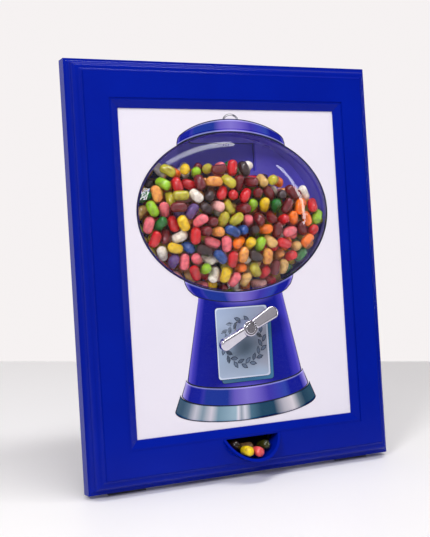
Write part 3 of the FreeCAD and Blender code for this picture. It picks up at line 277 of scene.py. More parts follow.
class Graph:
    """Small builder for the nodes of one material or group."""

    def __init__(self, tree: bpy.types.NodeTree) -> None:
        """Keeps the tree that nodes are added to."""
        self.tree = tree

    def add(self, kind: str, inputs: dict | None = None, **settings: object) -> bpy.types.Node:
        """Adds a node, sets its fields and fills or links its inputs.

        Args:
            kind: Node type.
            inputs: Values or output sockets by input name or number.
            settings: Values of the node's fields.

        Returns:
            The new node.
        """
        node = self.tree.nodes.new(kind)
        for key, value in settings.items():
            setattr(node, key, value)
        for key, value in (inputs or {}).items():
            self.feed(node.inputs[key], value)
        return node

    def feed(self, socket: bpy.types.NodeSocket, value: object) -> None:
        """Links an output to an input, or sets the input's value."""
        if isinstance(value, bpy.types.NodeSocket):
            self.tree.links.new(value, socket)
        else:
            socket.default_value = value

    def ramp(self, value: bpy.types.NodeSocket, stops: Stops) -> bpy.types.NodeSocket:
        """Adds a colour ramp and returns its colour."""
        node = self.add("ShaderNodeValToRGB", {"Fac": value})
        marks = node.color_ramp.elements
        marks.remove(marks[1])
        marks[0].position = stops[0][0]
        marks[0].color = linear(stops[0][1])
        for place, tone in stops[1:]:
            marks.new(place).color = linear(tone)
        return node.outputs["Color"]

    def mix(self, factor: object, first: object, second: object,
            blend: str = "MIX") -> bpy.types.NodeSocket:
        """Adds a colour mix and returns its result."""
        node = self.add("ShaderNodeMix", data_type="RGBA", blend_type=blend, clamp_result=True)
        for number, value in ((0, factor), (6, first), (7, second)):
            self.feed(node.inputs[number], value)
        return node.outputs[2]

    def math(self, operation: str, *values: object) -> bpy.types.NodeSocket:
        """Adds a calculation and returns its result."""
        return self.add("ShaderNodeMath", dict(enumerate(values)), operation=operation).outputs[0]

    def spot(self) -> bpy.types.NodeSocket:
        """Gives the place on the object."""
        return self.add("ShaderNodeTexCoord").outputs["Object"]

    def noise(self, place: object, scale: object, detail: float = 2.0) -> bpy.types.NodeSocket:
        """Adds a noise at a place and returns its value."""
        inputs = {"Vector": place, "Scale": scale, "Detail": detail}
        return self.add("ShaderNodeTexNoise", inputs).outputs["Fac"]

    def span(self, value: object, low: object, high: object, start: object,
             end: object) -> bpy.types.NodeSocket:
        """Maps a value from one span to another, clamped."""
        inputs = {"Value": value, "From Min": low, "From Max": high, "To Min": start, "To Max": end}
        return self.add("ShaderNodeMapRange", inputs).outputs["Result"]


class SkinGroups:
    """Shared shader groups for the skins that several finishes have."""

    @staticmethod
    def _started(name: str, inputs: Sequence[tuple[str, str, object]],
                 outputs: Sequence[tuple[str, str]]) -> tuple[Graph, bpy.types.Node, bpy.types.Node]:
        """Starts a group with its named sockets.

        Args:
            name: Name of the group.
            inputs: Name, kind and first value of each input.
            outputs: Name and kind of each output.

        Returns:
            The group's graph, its input node and its output node.
        """
        tree = bpy.data.node_groups.new(name, "ShaderNodeTree")
        for label, kind, value in inputs:
            socket = tree.interface.new_socket(label, in_out="INPUT", socket_type="NodeSocket" + kind)
            socket.default_value = value
        for label, kind in outputs:
            tree.interface.new_socket(label, in_out="OUTPUT", socket_type="NodeSocket" + kind)
        graph = Graph(tree)
        return graph, graph.add("NodeGroupInput"), graph.add("NodeGroupOutput")

    @staticmethod
    def moulded() -> bpy.types.NodeTree:
        """Gives the skin of moulded plastic: clouds, uneven gloss and fine grain."""
        if "moulded_skin" in bpy.data.node_groups:
            return bpy.data.node_groups["moulded_skin"]
        grey = (0.5, 0.5, 0.5, 1.0)
        graph, source, sink = SkinGroups._started(
            "moulded_skin",
            [("Tone", "Color", grey), ("Shade", "Color", grey), ("Cloud Scale", "Float", 18.0),
             ("Grain Scale", "Float", 900.0), ("Gloss", "Float", 0.1), ("Haze", "Float", 0.25),
             ("Dust", "Float", 0.0)],
            [("Colour", "Color"), ("Roughness", "Float"), ("Height", "Float")])
        spot = graph.spot()
        clouds = graph.noise(spot, source.outputs["Cloud Scale"], 4.0)
        grain = graph.noise(spot, source.outputs["Grain Scale"])
        specks = graph.add("ShaderNodeTexVoronoi", {"Vector": spot, "Scale": 160.0}).outputs["Distance"]
        dust = graph.math("MULTIPLY", graph.span(specks, 0.03, 0.09, 1.0, 0.0), source.outputs["Dust"])
        dust = graph.math("MULTIPLY", dust, graph.span(clouds, 0.5, 0.6, 0.0, 1.0))
        colour = graph.mix(graph.span(clouds, 0.35, 0.65, 0.0, 1.0), source.outputs["Tone"],
                           source.outputs["Shade"])
        graph.feed(sink.inputs["Colour"], graph.mix(dust, colour, linear((205, 205, 215))))
        rough = graph.span(clouds, 0.3, 0.7, source.outputs["Gloss"], source.outputs["Haze"])
        graph.feed(sink.inputs["Roughness"], graph.math("ADD", rough, graph.math("MULTIPLY", dust, 0.4)))
        graph.feed(sink.inputs["Height"], grain)
        return graph.tree

    @staticmethod
    def brushed() -> bpy.types.NodeTree:
        """Gives the skin of drawn or plated metal: fine streaks and faint stains."""
        if "metal_skin" in bpy.data.node_groups:
            return bpy.data.node_groups["metal_skin"]
        grey = (0.5, 0.5, 0.5, 1.0)
        graph, source, sink = SkinGroups._started(
            "metal_skin",
            [("Tone", "Color", grey), ("Shade", "Color", grey), ("Streak", "Vector", (1.0, 1.0, 1.0)),
             ("Gloss", "Float", 0.1), ("Haze", "Float", 0.3)],
            [("Colour", "Color"), ("Roughness", "Float"), ("Height", "Float")])
        spot = graph.spot()
        drawn = graph.add("ShaderNodeVectorMath", {0: spot, 1: source.outputs["Streak"]},
                          operation="MULTIPLY")
        streaks = graph.noise(drawn.outputs[0], 700.0, 3.0)
        stains = graph.noise(spot, 60.0, 5.0)
        graph.feed(sink.inputs["Colour"], graph.mix(graph.span(stains, 0.4, 0.7, 0.0, 1.0),
                                                    source.outputs["Tone"], source.outputs["Shade"]))
        both = graph.math("MULTIPLY", graph.math("ADD", streaks, stains), 0.5)
        graph.feed(sink.inputs["Roughness"], graph.span(both, 0.3, 0.7, source.outputs["Gloss"],
                                                        source.outputs["Haze"]))
        graph.feed(sink.inputs["Height"], streaks)
        return graph.tree


def started_material(name: str) -> tuple[bpy.types.Material, Graph, bpy.types.Node]:
    """Starts a material with its shader.

    Args:
        name: Name of the finish.

    Returns:
        The material, its graph and its shader node.
    """
    material = bpy.data.materials.new(name)
    material.use_nodes = True
    shader = material.node_tree.nodes["Principled BSDF"]
    return material, Graph(material.node_tree), shader


@dataclass(frozen=True)
class MouldedFinish:
    """Moulded plastic or rubber of one tone."""

    name: str
    tone: Tone
    shade: Tone
    gloss: float = 0.12
    haze: float = 0.22
    specular: float = 0.5
    cloud_scale: float = 18.0
    grain_scale: float = 900.0
    grain: float = 0.02
    dust: float = 0.0

    def build(self) -> bpy.types.Material:
        """Makes the material of this finish."""
        material, graph, shader = started_material(self.name)
        skin = graph.add("ShaderNodeGroup", node_tree=SkinGroups.moulded())
        values = {"Tone": linear(self.tone), "Shade": linear(self.shade), "Cloud Scale": self.cloud_scale,
                  "Grain Scale": self.grain_scale, "Gloss": self.gloss, "Haze": self.haze, "Dust": self.dust}
        for label, value in values.items():
            skin.inputs[label].default_value = value
        bump = graph.add("ShaderNodeBump", {"Strength": self.grain, "Distance": 0.0004,
                                            "Height": skin.outputs["Height"]})
        for label, value in (("Base Color", skin.outputs["Colour"]), ("Roughness", skin.outputs["Roughness"]),
                             ("Normal", bump.outputs[0]), ("Specular IOR Level", self.specular)):
            graph.feed(shader.inputs[label], value)
        return material


@dataclass(frozen=True)
class MetalFinish:
    """Bare or plated metal."""

    name: str
    tone: Tone
    shade: Tone
    gloss: float = 0.15
    haze: float = 0.35
    streak: Triple = (1.0, 1.0, 0.1)
    grain: float = 0.02

    def build(self) -> bpy.types.Material:
        """Makes the material of this finish."""
        material, graph, shader = started_material(self.name)
        skin = graph.add("ShaderNodeGroup", node_tree=SkinGroups.brushed())
        values = {"Tone": linear(self.tone), "Shade": linear(self.shade), "Streak": self.streak,
                  "Gloss": self.gloss, "Haze": self.haze}
        for label, value in values.items():
            skin.inputs[label].default_value = value
        bump = graph.add("ShaderNodeBump", {"Strength": self.grain, "Distance": 0.0003,
                                            "Height": skin.outputs["Height"]})
        for label, value in (("Base Color", skin.outputs["Colour"]), ("Roughness", skin.outputs["Roughness"]),
                             ("Normal", bump.outputs[0]), ("Metallic", 1.0)):
            graph.feed(shader.inputs[label], value)
        return material


@dataclass(frozen=True)
class Glow:
    """Soft oval patch of another tone on a print, in shares of its width and height; on the coin plate one is
    a painted shadow.
    """

    across: float
    up: float
    reach_across: float
    reach_up: float
    tone: Tone
    strength: float = 1.0


LEVEL = (188, 188, 188)


@dataclass(frozen=True)
class PrintFinish:
    """Glossy print whose tones run across the print and along its edges."""

    name: str
    across: Stops
    up: Stops = ((0.0, LEVEL), (1.0, LEVEL))
    glows: tuple[Glow, ...] = ()
    gloss: float = 0.06
    haze: float = 0.14
    specular: float = 0.1

    def build(self) -> bpy.types.Material:
        """Makes the material of this finish."""
        material, graph, shader = started_material(self.name)
        place = graph.add("ShaderNodeUVMap", uv_map=PrintPlate.UV).outputs["UV"]
        split = graph.add("ShaderNodeSeparateXYZ", {0: place})
        colour = graph.ramp(split.outputs["X"], self.across)
        colour = graph.mix(1.0, colour, graph.ramp(split.outputs["Y"], self.up), "LINEAR_LIGHT")
        for glow in self.glows:
            offset = graph.add("ShaderNodeVectorMath", {0: place, 1: (glow.across, glow.up, 0.0)},
                               operation="SUBTRACT").outputs[0]
            reach = (glow.reach_across, glow.reach_up, 1.0)
            scaled = graph.add("ShaderNodeVectorMath", {0: offset, 1: reach}, operation="DIVIDE").outputs[0]
            far = graph.add("ShaderNodeVectorMath", {0: scaled}, operation="LENGTH").outputs["Value"]
            fade = graph.add("ShaderNodeMapRange", {"Value": far, "From Min": 0.0, "From Max": 1.0,
                                                    "To Min": glow.strength, "To Max": 0.0},
                             interpolation_type="SMOOTHSTEP").outputs["Result"]
            colour = graph.mix(fade, colour, linear(glow.tone))
        spot = graph.spot()
        ink = graph.noise(spot, 1400.0)
        colour = graph.mix(graph.span(ink, 0.45, 0.75, 0.0, 0.015), colour, linear((235, 235, 245)))
        graph.feed(shader.inputs["Base Color"], colour)
        graph.feed(shader.inputs["Roughness"], graph.span(ink, 0.3, 0.7, self.gloss, self.haze))
        graph.feed(shader.inputs["Specular IOR Level"], self.specular)
        return material


@dataclass(frozen=True)
class ClearFinish:
    """Clear moulded window that lets lamp light through to what it covers."""

    name: str = "clear_window"
    tone: Tone = (252, 252, 255)
    index: float = 1.22

    def build(self) -> bpy.types.Material:
        """Makes the material of this finish."""
        material, graph, shader = started_material(self.name)
        spot = graph.spot()
        smear = graph.noise(spot, 25.0, 3.0)
        graph.feed(shader.inputs["Base Color"], linear(self.tone))
        graph.feed(shader.inputs["Roughness"], graph.span(smear, 0.35, 0.75, 0.0, 0.03))
        graph.feed(shader.inputs["Transmission Weight"], 1.0)
        graph.feed(shader.inputs["IOR"], self.index)
        path = graph.add("ShaderNodeLightPath")
        passing = graph.math("MAXIMUM", path.outputs["Is Shadow Ray"], path.outputs["Is Diffuse Ray"])
        through = graph.add("ShaderNodeBsdfTransparent")
        mixed = graph.add("ShaderNodeMixShader", {0: passing, 1: shader.outputs[0], 2: through.outputs[0]})
        sink = material.node_tree.nodes["Material Output"]
        graph.feed(sink.inputs["Surface"], mixed.outputs[0])
        return material


@dataclass(frozen=True)
class CandyFinish:
    """Glazed sugar shell whose colour and speckle each bean carries itself."""

    name: str = "glazed_beans"
    shade: Tone = (200, 190, 190)
    speck_tone: Tone = (196, 62, 66)
    gloss: float = 0.12
    haze: float = 0.22
    specular: float = 0.1
    coat: float = 0.9
    coat_haze: float = 0.06
    grain: float = 0.06

    def build(self) -> bpy.types.Material:
        """Makes the material of this finish."""
        material, graph, shader = started_material(self.name)
        own = graph.add("ShaderNodeAttribute", attribute_name=BeanShape.COLOUR)
        spot = graph.spot()
        mottle = graph.noise(spot, 260.0, 3.0)
        speck = graph.noise(spot, 900.0)
        dark = graph.mix(1.0, own.outputs["Color"], linear(self.shade), "MULTIPLY")
        colour = graph.mix(graph.span(mottle, 0.4, 0.7, 0.0, 1.0), own.outputs["Color"], dark)
        spots = graph.math("MULTIPLY", graph.span(speck, 0.56, 0.62, 0.0, 0.8), own.outputs["Alpha"])
        colour = graph.mix(spots, colour, linear(self.speck_tone))
        graph.feed(shader.inputs["Base Color"], colour)
        graph.feed(shader.inputs["Roughness"], graph.span(mottle, 0.3, 0.7, self.gloss, self.haze))
        graph.feed(shader.inputs["Specular IOR Level"], self.specular)
        graph.feed(shader.inputs["Coat Weight"], self.coat)
        graph.feed(shader.inputs["Coat Roughness"], self.coat_haze)
        bump = graph.add("ShaderNodeBump", {"Strength": self.grain, "Distance": 0.0005, "Height": mottle})
        graph.feed(shader.inputs["Normal"], bump.outputs[0])
        return material


FRAME_BLUE = MouldedFinish(
    "frame_blue", (0, 26, 150), (0, 23, 143), gloss=0.12, haze=0.17, specular=0.1,
    cloud_scale=14.0, grain_scale=500.0, grain=0.003)
PANEL_WHITE = MouldedFinish(
    "panel_white", (229, 224, 235), (226, 222, 234), gloss=0.05, haze=0.1, specular=0.2,
    cloud_scale=9.0, grain_scale=700.0, grain=0.004)
BIN_BLUE = MouldedFinish(
    "bin_blue", (104, 92, 222), (94, 84, 208), gloss=0.25, haze=0.4, specular=0.4,
    cloud_scale=20.0, grain_scale=800.0, grain=0.03)
# Fill door tone: painted light, lighter than the cover so that the shaded fill port seen through the window
# matches the bin wall.
FLAP_BLUE_PAINTED_LIGHT = MouldedFinish(
    "flap_blue_painted_light", (88, 80, 206), (80, 72, 194), gloss=0.38, haze=0.5, specular=0.3,
    cloud_scale=22.0, grain_scale=1500.0, grain=0.12, dust=0.25)
# Chute tone: painted shade, near black so that the inside of the cup behind the beans reads as shaded.
CHUTE_PAINTED_SHADE = MouldedFinish(
    "chute_dark", (10, 11, 30), (8, 9, 25), gloss=0.35, haze=0.5, specular=0.2,
    cloud_scale=25.0, grain_scale=900.0, grain=0.05)
COVER_BLUE = MouldedFinish(
    "cover_blue", (6, 28, 138), (4, 24, 122), gloss=0.38, haze=0.5, specular=0.3,
    cloud_scale=22.0, grain_scale=1500.0, grain=0.12, dust=0.25)
WORKS_WHITE = MouldedFinish(
    "works_white", (222, 222, 216), (208, 208, 200), gloss=0.4, haze=0.55, specular=0.4,
    cloud_scale=30.0, grain_scale=1200.0, grain=0.08)
FOOT_RUBBER = MouldedFinish(
    "foot_rubber", (78, 78, 84), (66, 66, 72), gloss=0.65, haze=0.85, specular=0.3,
    cloud_scale=60.0, grain_scale=2200.0, grain=0.3, dust=0.5)
KNOB_PLATE = MetalFinish(
    "knob_plate", (214, 212, 222), (196, 193, 206), gloss=0.12, haze=0.24,
    streak=(1.0, 1.0, 1.0), grain=0.015)
BRIGHT_STEEL = MetalFinish("bright_steel", (190, 192, 198), (168, 170, 178), gloss=0.22, haze=0.42)
TURNED_BRASS = MetalFinish("turned_brass", (208, 170, 92), (186, 146, 70), gloss=0.2, haze=0.4)

PALE, LAVENDER, VIOLET = (176, 166, 226), (100, 90, 190), (58, 48, 160)
DEEP, MID = (0, 14, 140), (16, 46, 142)
INK = (22, 24, 48)
BAND_TONES: Stops = (
    (0.0, PALE), (0.02, LAVENDER), (0.045, DEEP), (0.12, (2, 20, 146)), (0.145, (44, 46, 158)),
    (0.17, MID), (0.34, MID), (0.4, (96, 84, 180)), (0.5, (122, 110, 196)), (0.58, (106, 92, 188)),
    (0.68, VIOLET), (0.76, (50, 56, 164)), (0.82, (40, 62, 160)), (0.86, DEEP), (0.955, DEEP),
    (0.98, LAVENDER), (1.0, PALE))
BODY_TONES: Stops = (
    (0.0, (110, 98, 200)), (0.03, (60, 54, 176)), (0.07, DEEP), (0.24, (0, 10, 132)), (0.31, (4, 14, 140)),
    (0.37, (14, 18, 148)), (0.6, (10, 16, 144)), (0.76, (0, 10, 132)), (0.9, (0, 14, 140)),
    (0.97, (60, 54, 176)), (1.0, (110, 98, 200)))
STEEL_TONES: Stops = (
    (0.0, (60, 84, 104)), (0.03, (52, 80, 104)), (0.07, (86, 108, 130)), (0.12, (186, 186, 198)),
    (0.17, (120, 142, 158)), (0.23, (198, 194, 206)), (0.28, (110, 142, 160)), (0.36, (134, 162, 180)),
    (0.41, (150, 176, 192)), (0.425, (214, 212, 224)), (0.45, (138, 150, 166)), (0.475, (206, 206, 218)),
    (0.52, (74, 110, 132)), (0.6, (24, 66, 92)), (0.7, (20, 62, 88)), (0.77, (170, 168, 180)),
    (0.84, (206, 200, 208)), (0.89, (92, 110, 124)), (0.93, (22, 58, 82)), (1.0, (40, 76, 98)))
RIM_LINES: Stops = (
    (0.0, (150, 150, 160)), (0.1, (206, 206, 206)), (0.2, (196, 196, 200)), (0.25, (172, 172, 176)),
    (0.3, LEVEL), (0.78, LEVEL), (0.84, (204, 204, 208)), (0.9, (206, 206, 210)),
    (0.95, (176, 176, 184)), (1.0, (150, 150, 160)))

CAP_PRINT = PrintFinish("print_cap", BAND_TONES, RIM_LINES)
COLLAR_PRINT = PrintFinish("print_collar", BAND_TONES, (
    (0.0, (172, 172, 180)), (0.12, LEVEL), (0.8, LEVEL), (0.92, (204, 204, 210)), (1.0, LEVEL)))
BODY_PRINT = PrintFinish("print_body", BODY_TONES, glows=(
    Glow(0.54, 1.0, 0.42, 0.12, (120, 110, 200)), Glow(0.5, -0.04, 0.34, 0.14, (110, 98, 196), 0.8)))
SKIRT_PRINT = PrintFinish("print_skirt", BAND_TONES, (
    (0.0, LEVEL), (0.86, LEVEL), (0.93, (206, 206, 212)), (1.0, (196, 196, 204))))
BASE_PRINT = PrintFinish("print_base", STEEL_TONES, (
    (0.0, (176, 176, 180)), (0.15, LEVEL), (0.9, LEVEL), (1.0, (178, 178, 182))))
LOOP_PRINT = PrintFinish("print_loop", (
    (0.0, (120, 120, 130)), (0.3, (236, 236, 242)), (0.62, (220, 218, 228)), (0.74, (70, 70, 84)),
    (1.0, (180, 180, 192))))
INK_PRINT = PrintFinish("print_ink", ((0.0, INK), (1.0, (30, 34, 60))))
# The coin plate's first glow, a soft dark patch below and right of the knob, is a painted shadow of the knob;
# the rest is print.
PLATE_PRINT = PrintFinish("print_plate", (
    (0.0, (164, 180, 206)), (0.5, (152, 166, 190)), (1.0, (150, 154, 172))), (
    (0.0, (190, 190, 190)), (0.35, (182, 182, 180)), (0.75, (190, 190, 190)), (1.0, (186, 186, 188))),
    glows=(Glow(0.56, 0.42, 0.46, 0.36, (84, 100, 118), 0.95),
           Glow(0.86, 0.0, 0.5, 0.2, (150, 176, 204), 0.6)))
PLATE_LIGHT_PRINT = PrintFinish("print_plate_light", ((0.0, (206, 216, 236)), (1.0, (184, 194, 214))))
PLATE_SIDE_PRINT = PrintFinish("print_plate_side", (
    (0.0, (70, 104, 136)), (0.5, (48, 96, 132)), (1.0, (58, 110, 146))))
LEAF_PRINT = PrintFinish("print_leaf", ((0.0, (110, 126, 150)), (1.0, (92, 104, 126))))


def shared(finish: PrintFinish | CandyFinish) -> bpy.types.Material:
    """Gives the one material of a finish that several pieces share."""
    return bpy.data.materials.get(finish.name) or finish.build()


@dataclass(frozen=True)
class Curve:
    """Edge of a printed band: an oval arc from end to end, in millimetres."""

    half: float
    ends: float
    middle: float

    def towards(self, other: "Curve", share: float) -> "Curve":
        """Gives the arc at a share of the way to another arc."""
        return Curve(self.half + share * (other.half - self.half),
                     self.ends + share * (other.ends - self.ends),
                     self.middle + share * (other.middle - self.middle))


@dataclass
class PrintPlate:
    """One thin plate of the print, lying on the panel or on another plate."""

    UV = "print_map"
    STEP = 0.07

    name: str
    level: int
    finish: PrintFinish
    edge: float = 0.8

    def finish_plate(self, obj: bpy.types.Object, hole: float = 0.0) -> bpy.types.Object:
        """Gives a flat face its ink edge, thickness, place and materials.

        Args:
            obj: Flat object in the upright X and Z plane with its print map.
            hole: Radius of the shaft hole in millimetres, or nothing.

        Returns:
            The finished plate, still upright.
        """
        obj.data.materials.append(self.finish.build())
        obj.data.materials.append(shared(INK_PRINT))
        with Bench.editing(obj):
            bpy.ops.mesh.select_mode(type="FACE")
            bpy.ops.mesh.select_all(action="SELECT")
            bpy.ops.mesh.normals_make_consistent(inside=False)
            mesh = bmesh.from_edit_mesh(obj.data)
            if sum(face.normal.y * face.calc_area() for face in mesh.faces) > 0.0:
                bpy.ops.mesh.flip_normals()
            if self.edge:
                bpy.ops.mesh.inset(thickness=self.edge * MM, depth=0.0)
                Bench.pick(obj, Element.FACE, lambda face: any(edge.is_boundary for edge in face.edges))
                obj.active_material_index = 1
                bpy.ops.object.material_slot_assign()
        Bench.applied(obj, "SOLIDIFY", thickness=self.STEP * MM, offset=1.0)
        obj.location.y = -(PANEL_FRONT + self.level * self.STEP) * MM
        Bench.settle(obj)
        if hole:
            bpy.ops.object.select_all(action="DESELECT")
            bpy.ops.mesh.primitive_cylinder_add(vertices=64, radius=hole * MM, depth=0.01,
                                                location=(0.0, -PANEL_FRONT * MM, KNOB_AXIS * MM),
                                                rotation=UPRIGHT)
            drill = Bench.named("shaft_drill")
            Bench.applied(obj, "BOOLEAN", object=drill, operation="DIFFERENCE", solver="EXACT")
            Bench.discard(drill)
        return obj

    def mapped(self, obj: bpy.types.Object, place: Callable[[Vector], tuple[float, float]]) -> None:
        """Writes the print map from each point's place."""
        layer = obj.data.uv_layers.new(name=self.UV)
        for loop in obj.data.loops:
            layer.data[loop.index].uv = place(obj.data.vertices[loop.vertex_index].co)


@dataclass
class PrintBand(PrintPlate):
    """Printed band between rows of oval arcs, first row at the bottom."""

    rows: tuple[Curve, ...] = ()
    steps: int = 48
    hole: float = 0.0
    opening: float = 90.0

    def build(self) -> bpy.types.Object:
        """Draws the band: an arc of a circle, shaped to the first row and extruded to the others."""
        whole = round(self.steps * 180.0 / self.opening)
        wide, flat = math.sin(math.radians(self.opening)), math.cos(math.radians(self.opening))
        obj = Bench.circle(self.name, whole)
        with Bench.editing(obj):
            if Bench.pick(obj, Element.POINT, lambda vert: vert.co.z < flat - 1e-4):
                bpy.ops.mesh.delete(type="VERT")
            bpy.ops.mesh.select_all(action="SELECT")
            first = self.rows[0]
            rise = (first.middle - first.ends) / (1.0 - flat)
            bpy.ops.transform.resize(value=(first.half / wide * MM, 1.0, rise * MM),
                                     center_override=ORIGIN)
            bpy.ops.transform.translate(value=(0.0, 0.0, (first.ends - rise * flat) * MM))
            for low, high in zip(self.rows, self.rows[1:]):
                bpy.ops.mesh.select_mode(type="EDGE")
                bpy.ops.mesh.extrude_edges_move()
                rise = (high.middle - high.ends) / (low.middle - low.ends)
                bpy.ops.transform.resize(value=(high.half / low.half, 1.0, rise),
                                         center_override=(0.0, 0.0, low.ends * MM))
                bpy.ops.transform.translate(value=(0.0, 0.0, (high.ends - low.ends) * MM))
            if self.hole:
                axis = Vector((0.0, 0.0, KNOB_AXIS * MM))
                Bench.pick(obj, Element.FACE,
                           lambda face: (face.calc_center_median() - axis).length < self.hole * MM)
                bpy.ops.mesh.delete(type="FACE")
        self.mapped(obj, self.print_place)
        return self.finish_plate(obj)

    def print_place(self, co: Vector) -> tuple[float, float]:
        """Tells a point's place on the print from the row that it lies on."""
        wide, flat = math.sin(math.radians(self.opening)), math.cos(math.radians(self.opening))

        def miss(row: Curve) -> float:
            """Tells how far the point lies from a row, in millimetres."""
            share = wide * min(1.0, abs(co.x) / MM / row.half)
            arch = (math.sqrt(1.0 - share * share) - flat) / (1.0 - flat)
            past = max(0.0, abs(co.x) / MM - row.half)
            return past + abs(row.ends + (row.middle - row.ends) * arch - co.z / MM)

        number = min(range(len(self.rows)), key=lambda index: miss(self.rows[index]))
        return 0.5 + 0.5 * co.x / MM / self.rows[number].half, number / (len(self.rows) - 1)


@dataclass
class PrintTablet(PrintPlate):
    """Printed rounded rectangle, from its corners in millimetres."""

    corners: tuple[tuple[float, float], ...] = ()
    rounding: float = 3.0
    hole: float = 0.0

    def build(self) -> bpy.types.Object:
        """Draws the tablet: a plane with its corners moved and rounded."""
        bpy.ops.object.select_all(action="DESELECT")
        bpy.ops.mesh.primitive_plane_add(size=1.0, rotation=UPRIGHT)
        obj = Bench.settle(Bench.named(self.name))
        with Bench.editing(obj):
            for sign_x, sign_z, (u, v) in zip((-1, 1, 1, -1), (-1, -1, 1, 1), self.corners):
                Bench.pick(obj, Element.POINT,
                           lambda vert: vert.co.x * sign_x > 0.2 and vert.co.z * sign_z > 0.2)
                bpy.ops.transform.translate(value=(u * MM - 0.5 * sign_x, 0.0, v * MM - 0.5 * sign_z))
            bpy.ops.mesh.select_all(action="SELECT")
            bpy.ops.mesh.bevel(offset=self.rounding * MM, segments=6, affect="VERTICES")
        low = Vector(map(min, *(vert.co for vert in obj.data.vertices)))
        high = Vector(map(max, *(vert.co for vert in obj.data.vertices)))
        size = high - low
        self.mapped(obj, lambda co: ((co.x - low.x) / size.x, (co.z - low.z) / size.z))
        return self.finish_plate(obj, self.hole)


@dataclass
class GlobeLine(PrintPlate):
    """Dark line round the window that also lines the edge of the panel's opening."""

    half_width: float = 100.1
    half_height: float = 75.1
    width: float = 0.9
    depth: float = 2.0
    points: int = 128
    tone_run: float = 4.0

    def build(self) -> bpy.types.Object:
        """Draws the line: an oval loop extruded outwards on the panel and back into the opening."""
        middle = GlobeWindow.centre * MM
        obj = Bench.circle(self.name, self.points)
        obj.scale = (self.half_width * MM, 1.0, self.half_height * MM)
        obj.location.z = middle
        Bench.settle(obj)
        grow = ((self.half_width + self.width) / self.half_width, 1.0,
                (self.half_height + self.width) / self.half_height)
        with Bench.editing(obj):
            bpy.ops.mesh.select_mode(type="EDGE")
            bpy.ops.mesh.select_all(action="SELECT")
            bpy.ops.mesh.extrude_edges_move()
            bpy.ops.transform.resize(value=grow, center_override=(0.0, 0.0, middle))
            inner = (self.half_height + 0.3 * self.width) * MM
            Bench.pick(obj, Element.EDGE, lambda edge: edge.is_boundary and all(
                math.hypot(vert.co.x * self.half_height / self.half_width, vert.co.z - middle) < inner
                for vert in edge.verts))
            bpy.ops.mesh.extrude_edges_move(TRANSFORM_OT_translate={"value": (0.0, self.depth * MM, 0.0)})
        self.mapped(obj, lambda co: (0.5 + self.tone_run * co.x, 0.5))
        return self.finish_plate(obj)


@dataclass
class LeafRing(PrintPlate):
    """Ring of plain pointed leaves with dark edges, laid in pairs."""

    centre: tuple[float, float] = (-0.8, 124.5)
    radius: float = 20.2
    pairs: int = 15
    length: float = 8.0
    width: float = 3.7
    spread: float = 2.2
    splay: float = 34.0
    points: int = 14
    tone_run: float = 10.0

    def leaf(self) -> bpy.types.Object:
        """Draws one leaf pointing along X: a flattened disc with drawn-out tips."""
        obj = Bench.circle("leaf", self.points, 0.5 * self.length * MM, "NGON")
        with Bench.editing(obj):
            bpy.ops.mesh.select_all(action="SELECT")
            bpy.ops.transform.resize(value=(0.9, 1.0, self.width / self.length),
                                     center_override=ORIGIN)
            tip = 0.3 * self.length * MM
            Bench.pick(obj, Element.POINT, lambda vert: abs(vert.co.x) > tip)
            bpy.ops.transform.resize(value=(1.12, 1.0, 0.5), center_override=ORIGIN)
        return obj

    def build(self) -> bpy.types.Object:
        """Lays the leaves in pairs round the ring."""
        pattern = self.leaf()
        leaves = []
        for index in range(2 * self.pairs):
            side = 1.0 if index % 2 else -1.0
            turn = 2.0 * math.pi * (index // 2 + 0.25 * side) / self.pairs
            reach = (self.radius + self.spread * side) * MM
            middle = Vector((self.centre[0] * MM + reach * math.cos(turn), 0.0,
                             self.centre[1] * MM + reach * math.sin(turn)))
            aim = turn + math.pi / 2 - side * math.radians(self.splay)
            leaves.append(Bench.copy(pattern, Matrix.Translation(middle) @ Matrix.Rotation(-aim, 4, "Y")))
        Bench.discard(pattern)
        for leaf in leaves:
            Bench.settle(leaf)
        obj = Bench.joined(leaves, self.name)
        self.mapped(obj, lambda co: (0.5 + self.tone_run * co.x, 0.5))
        return self.finish_plate(obj)


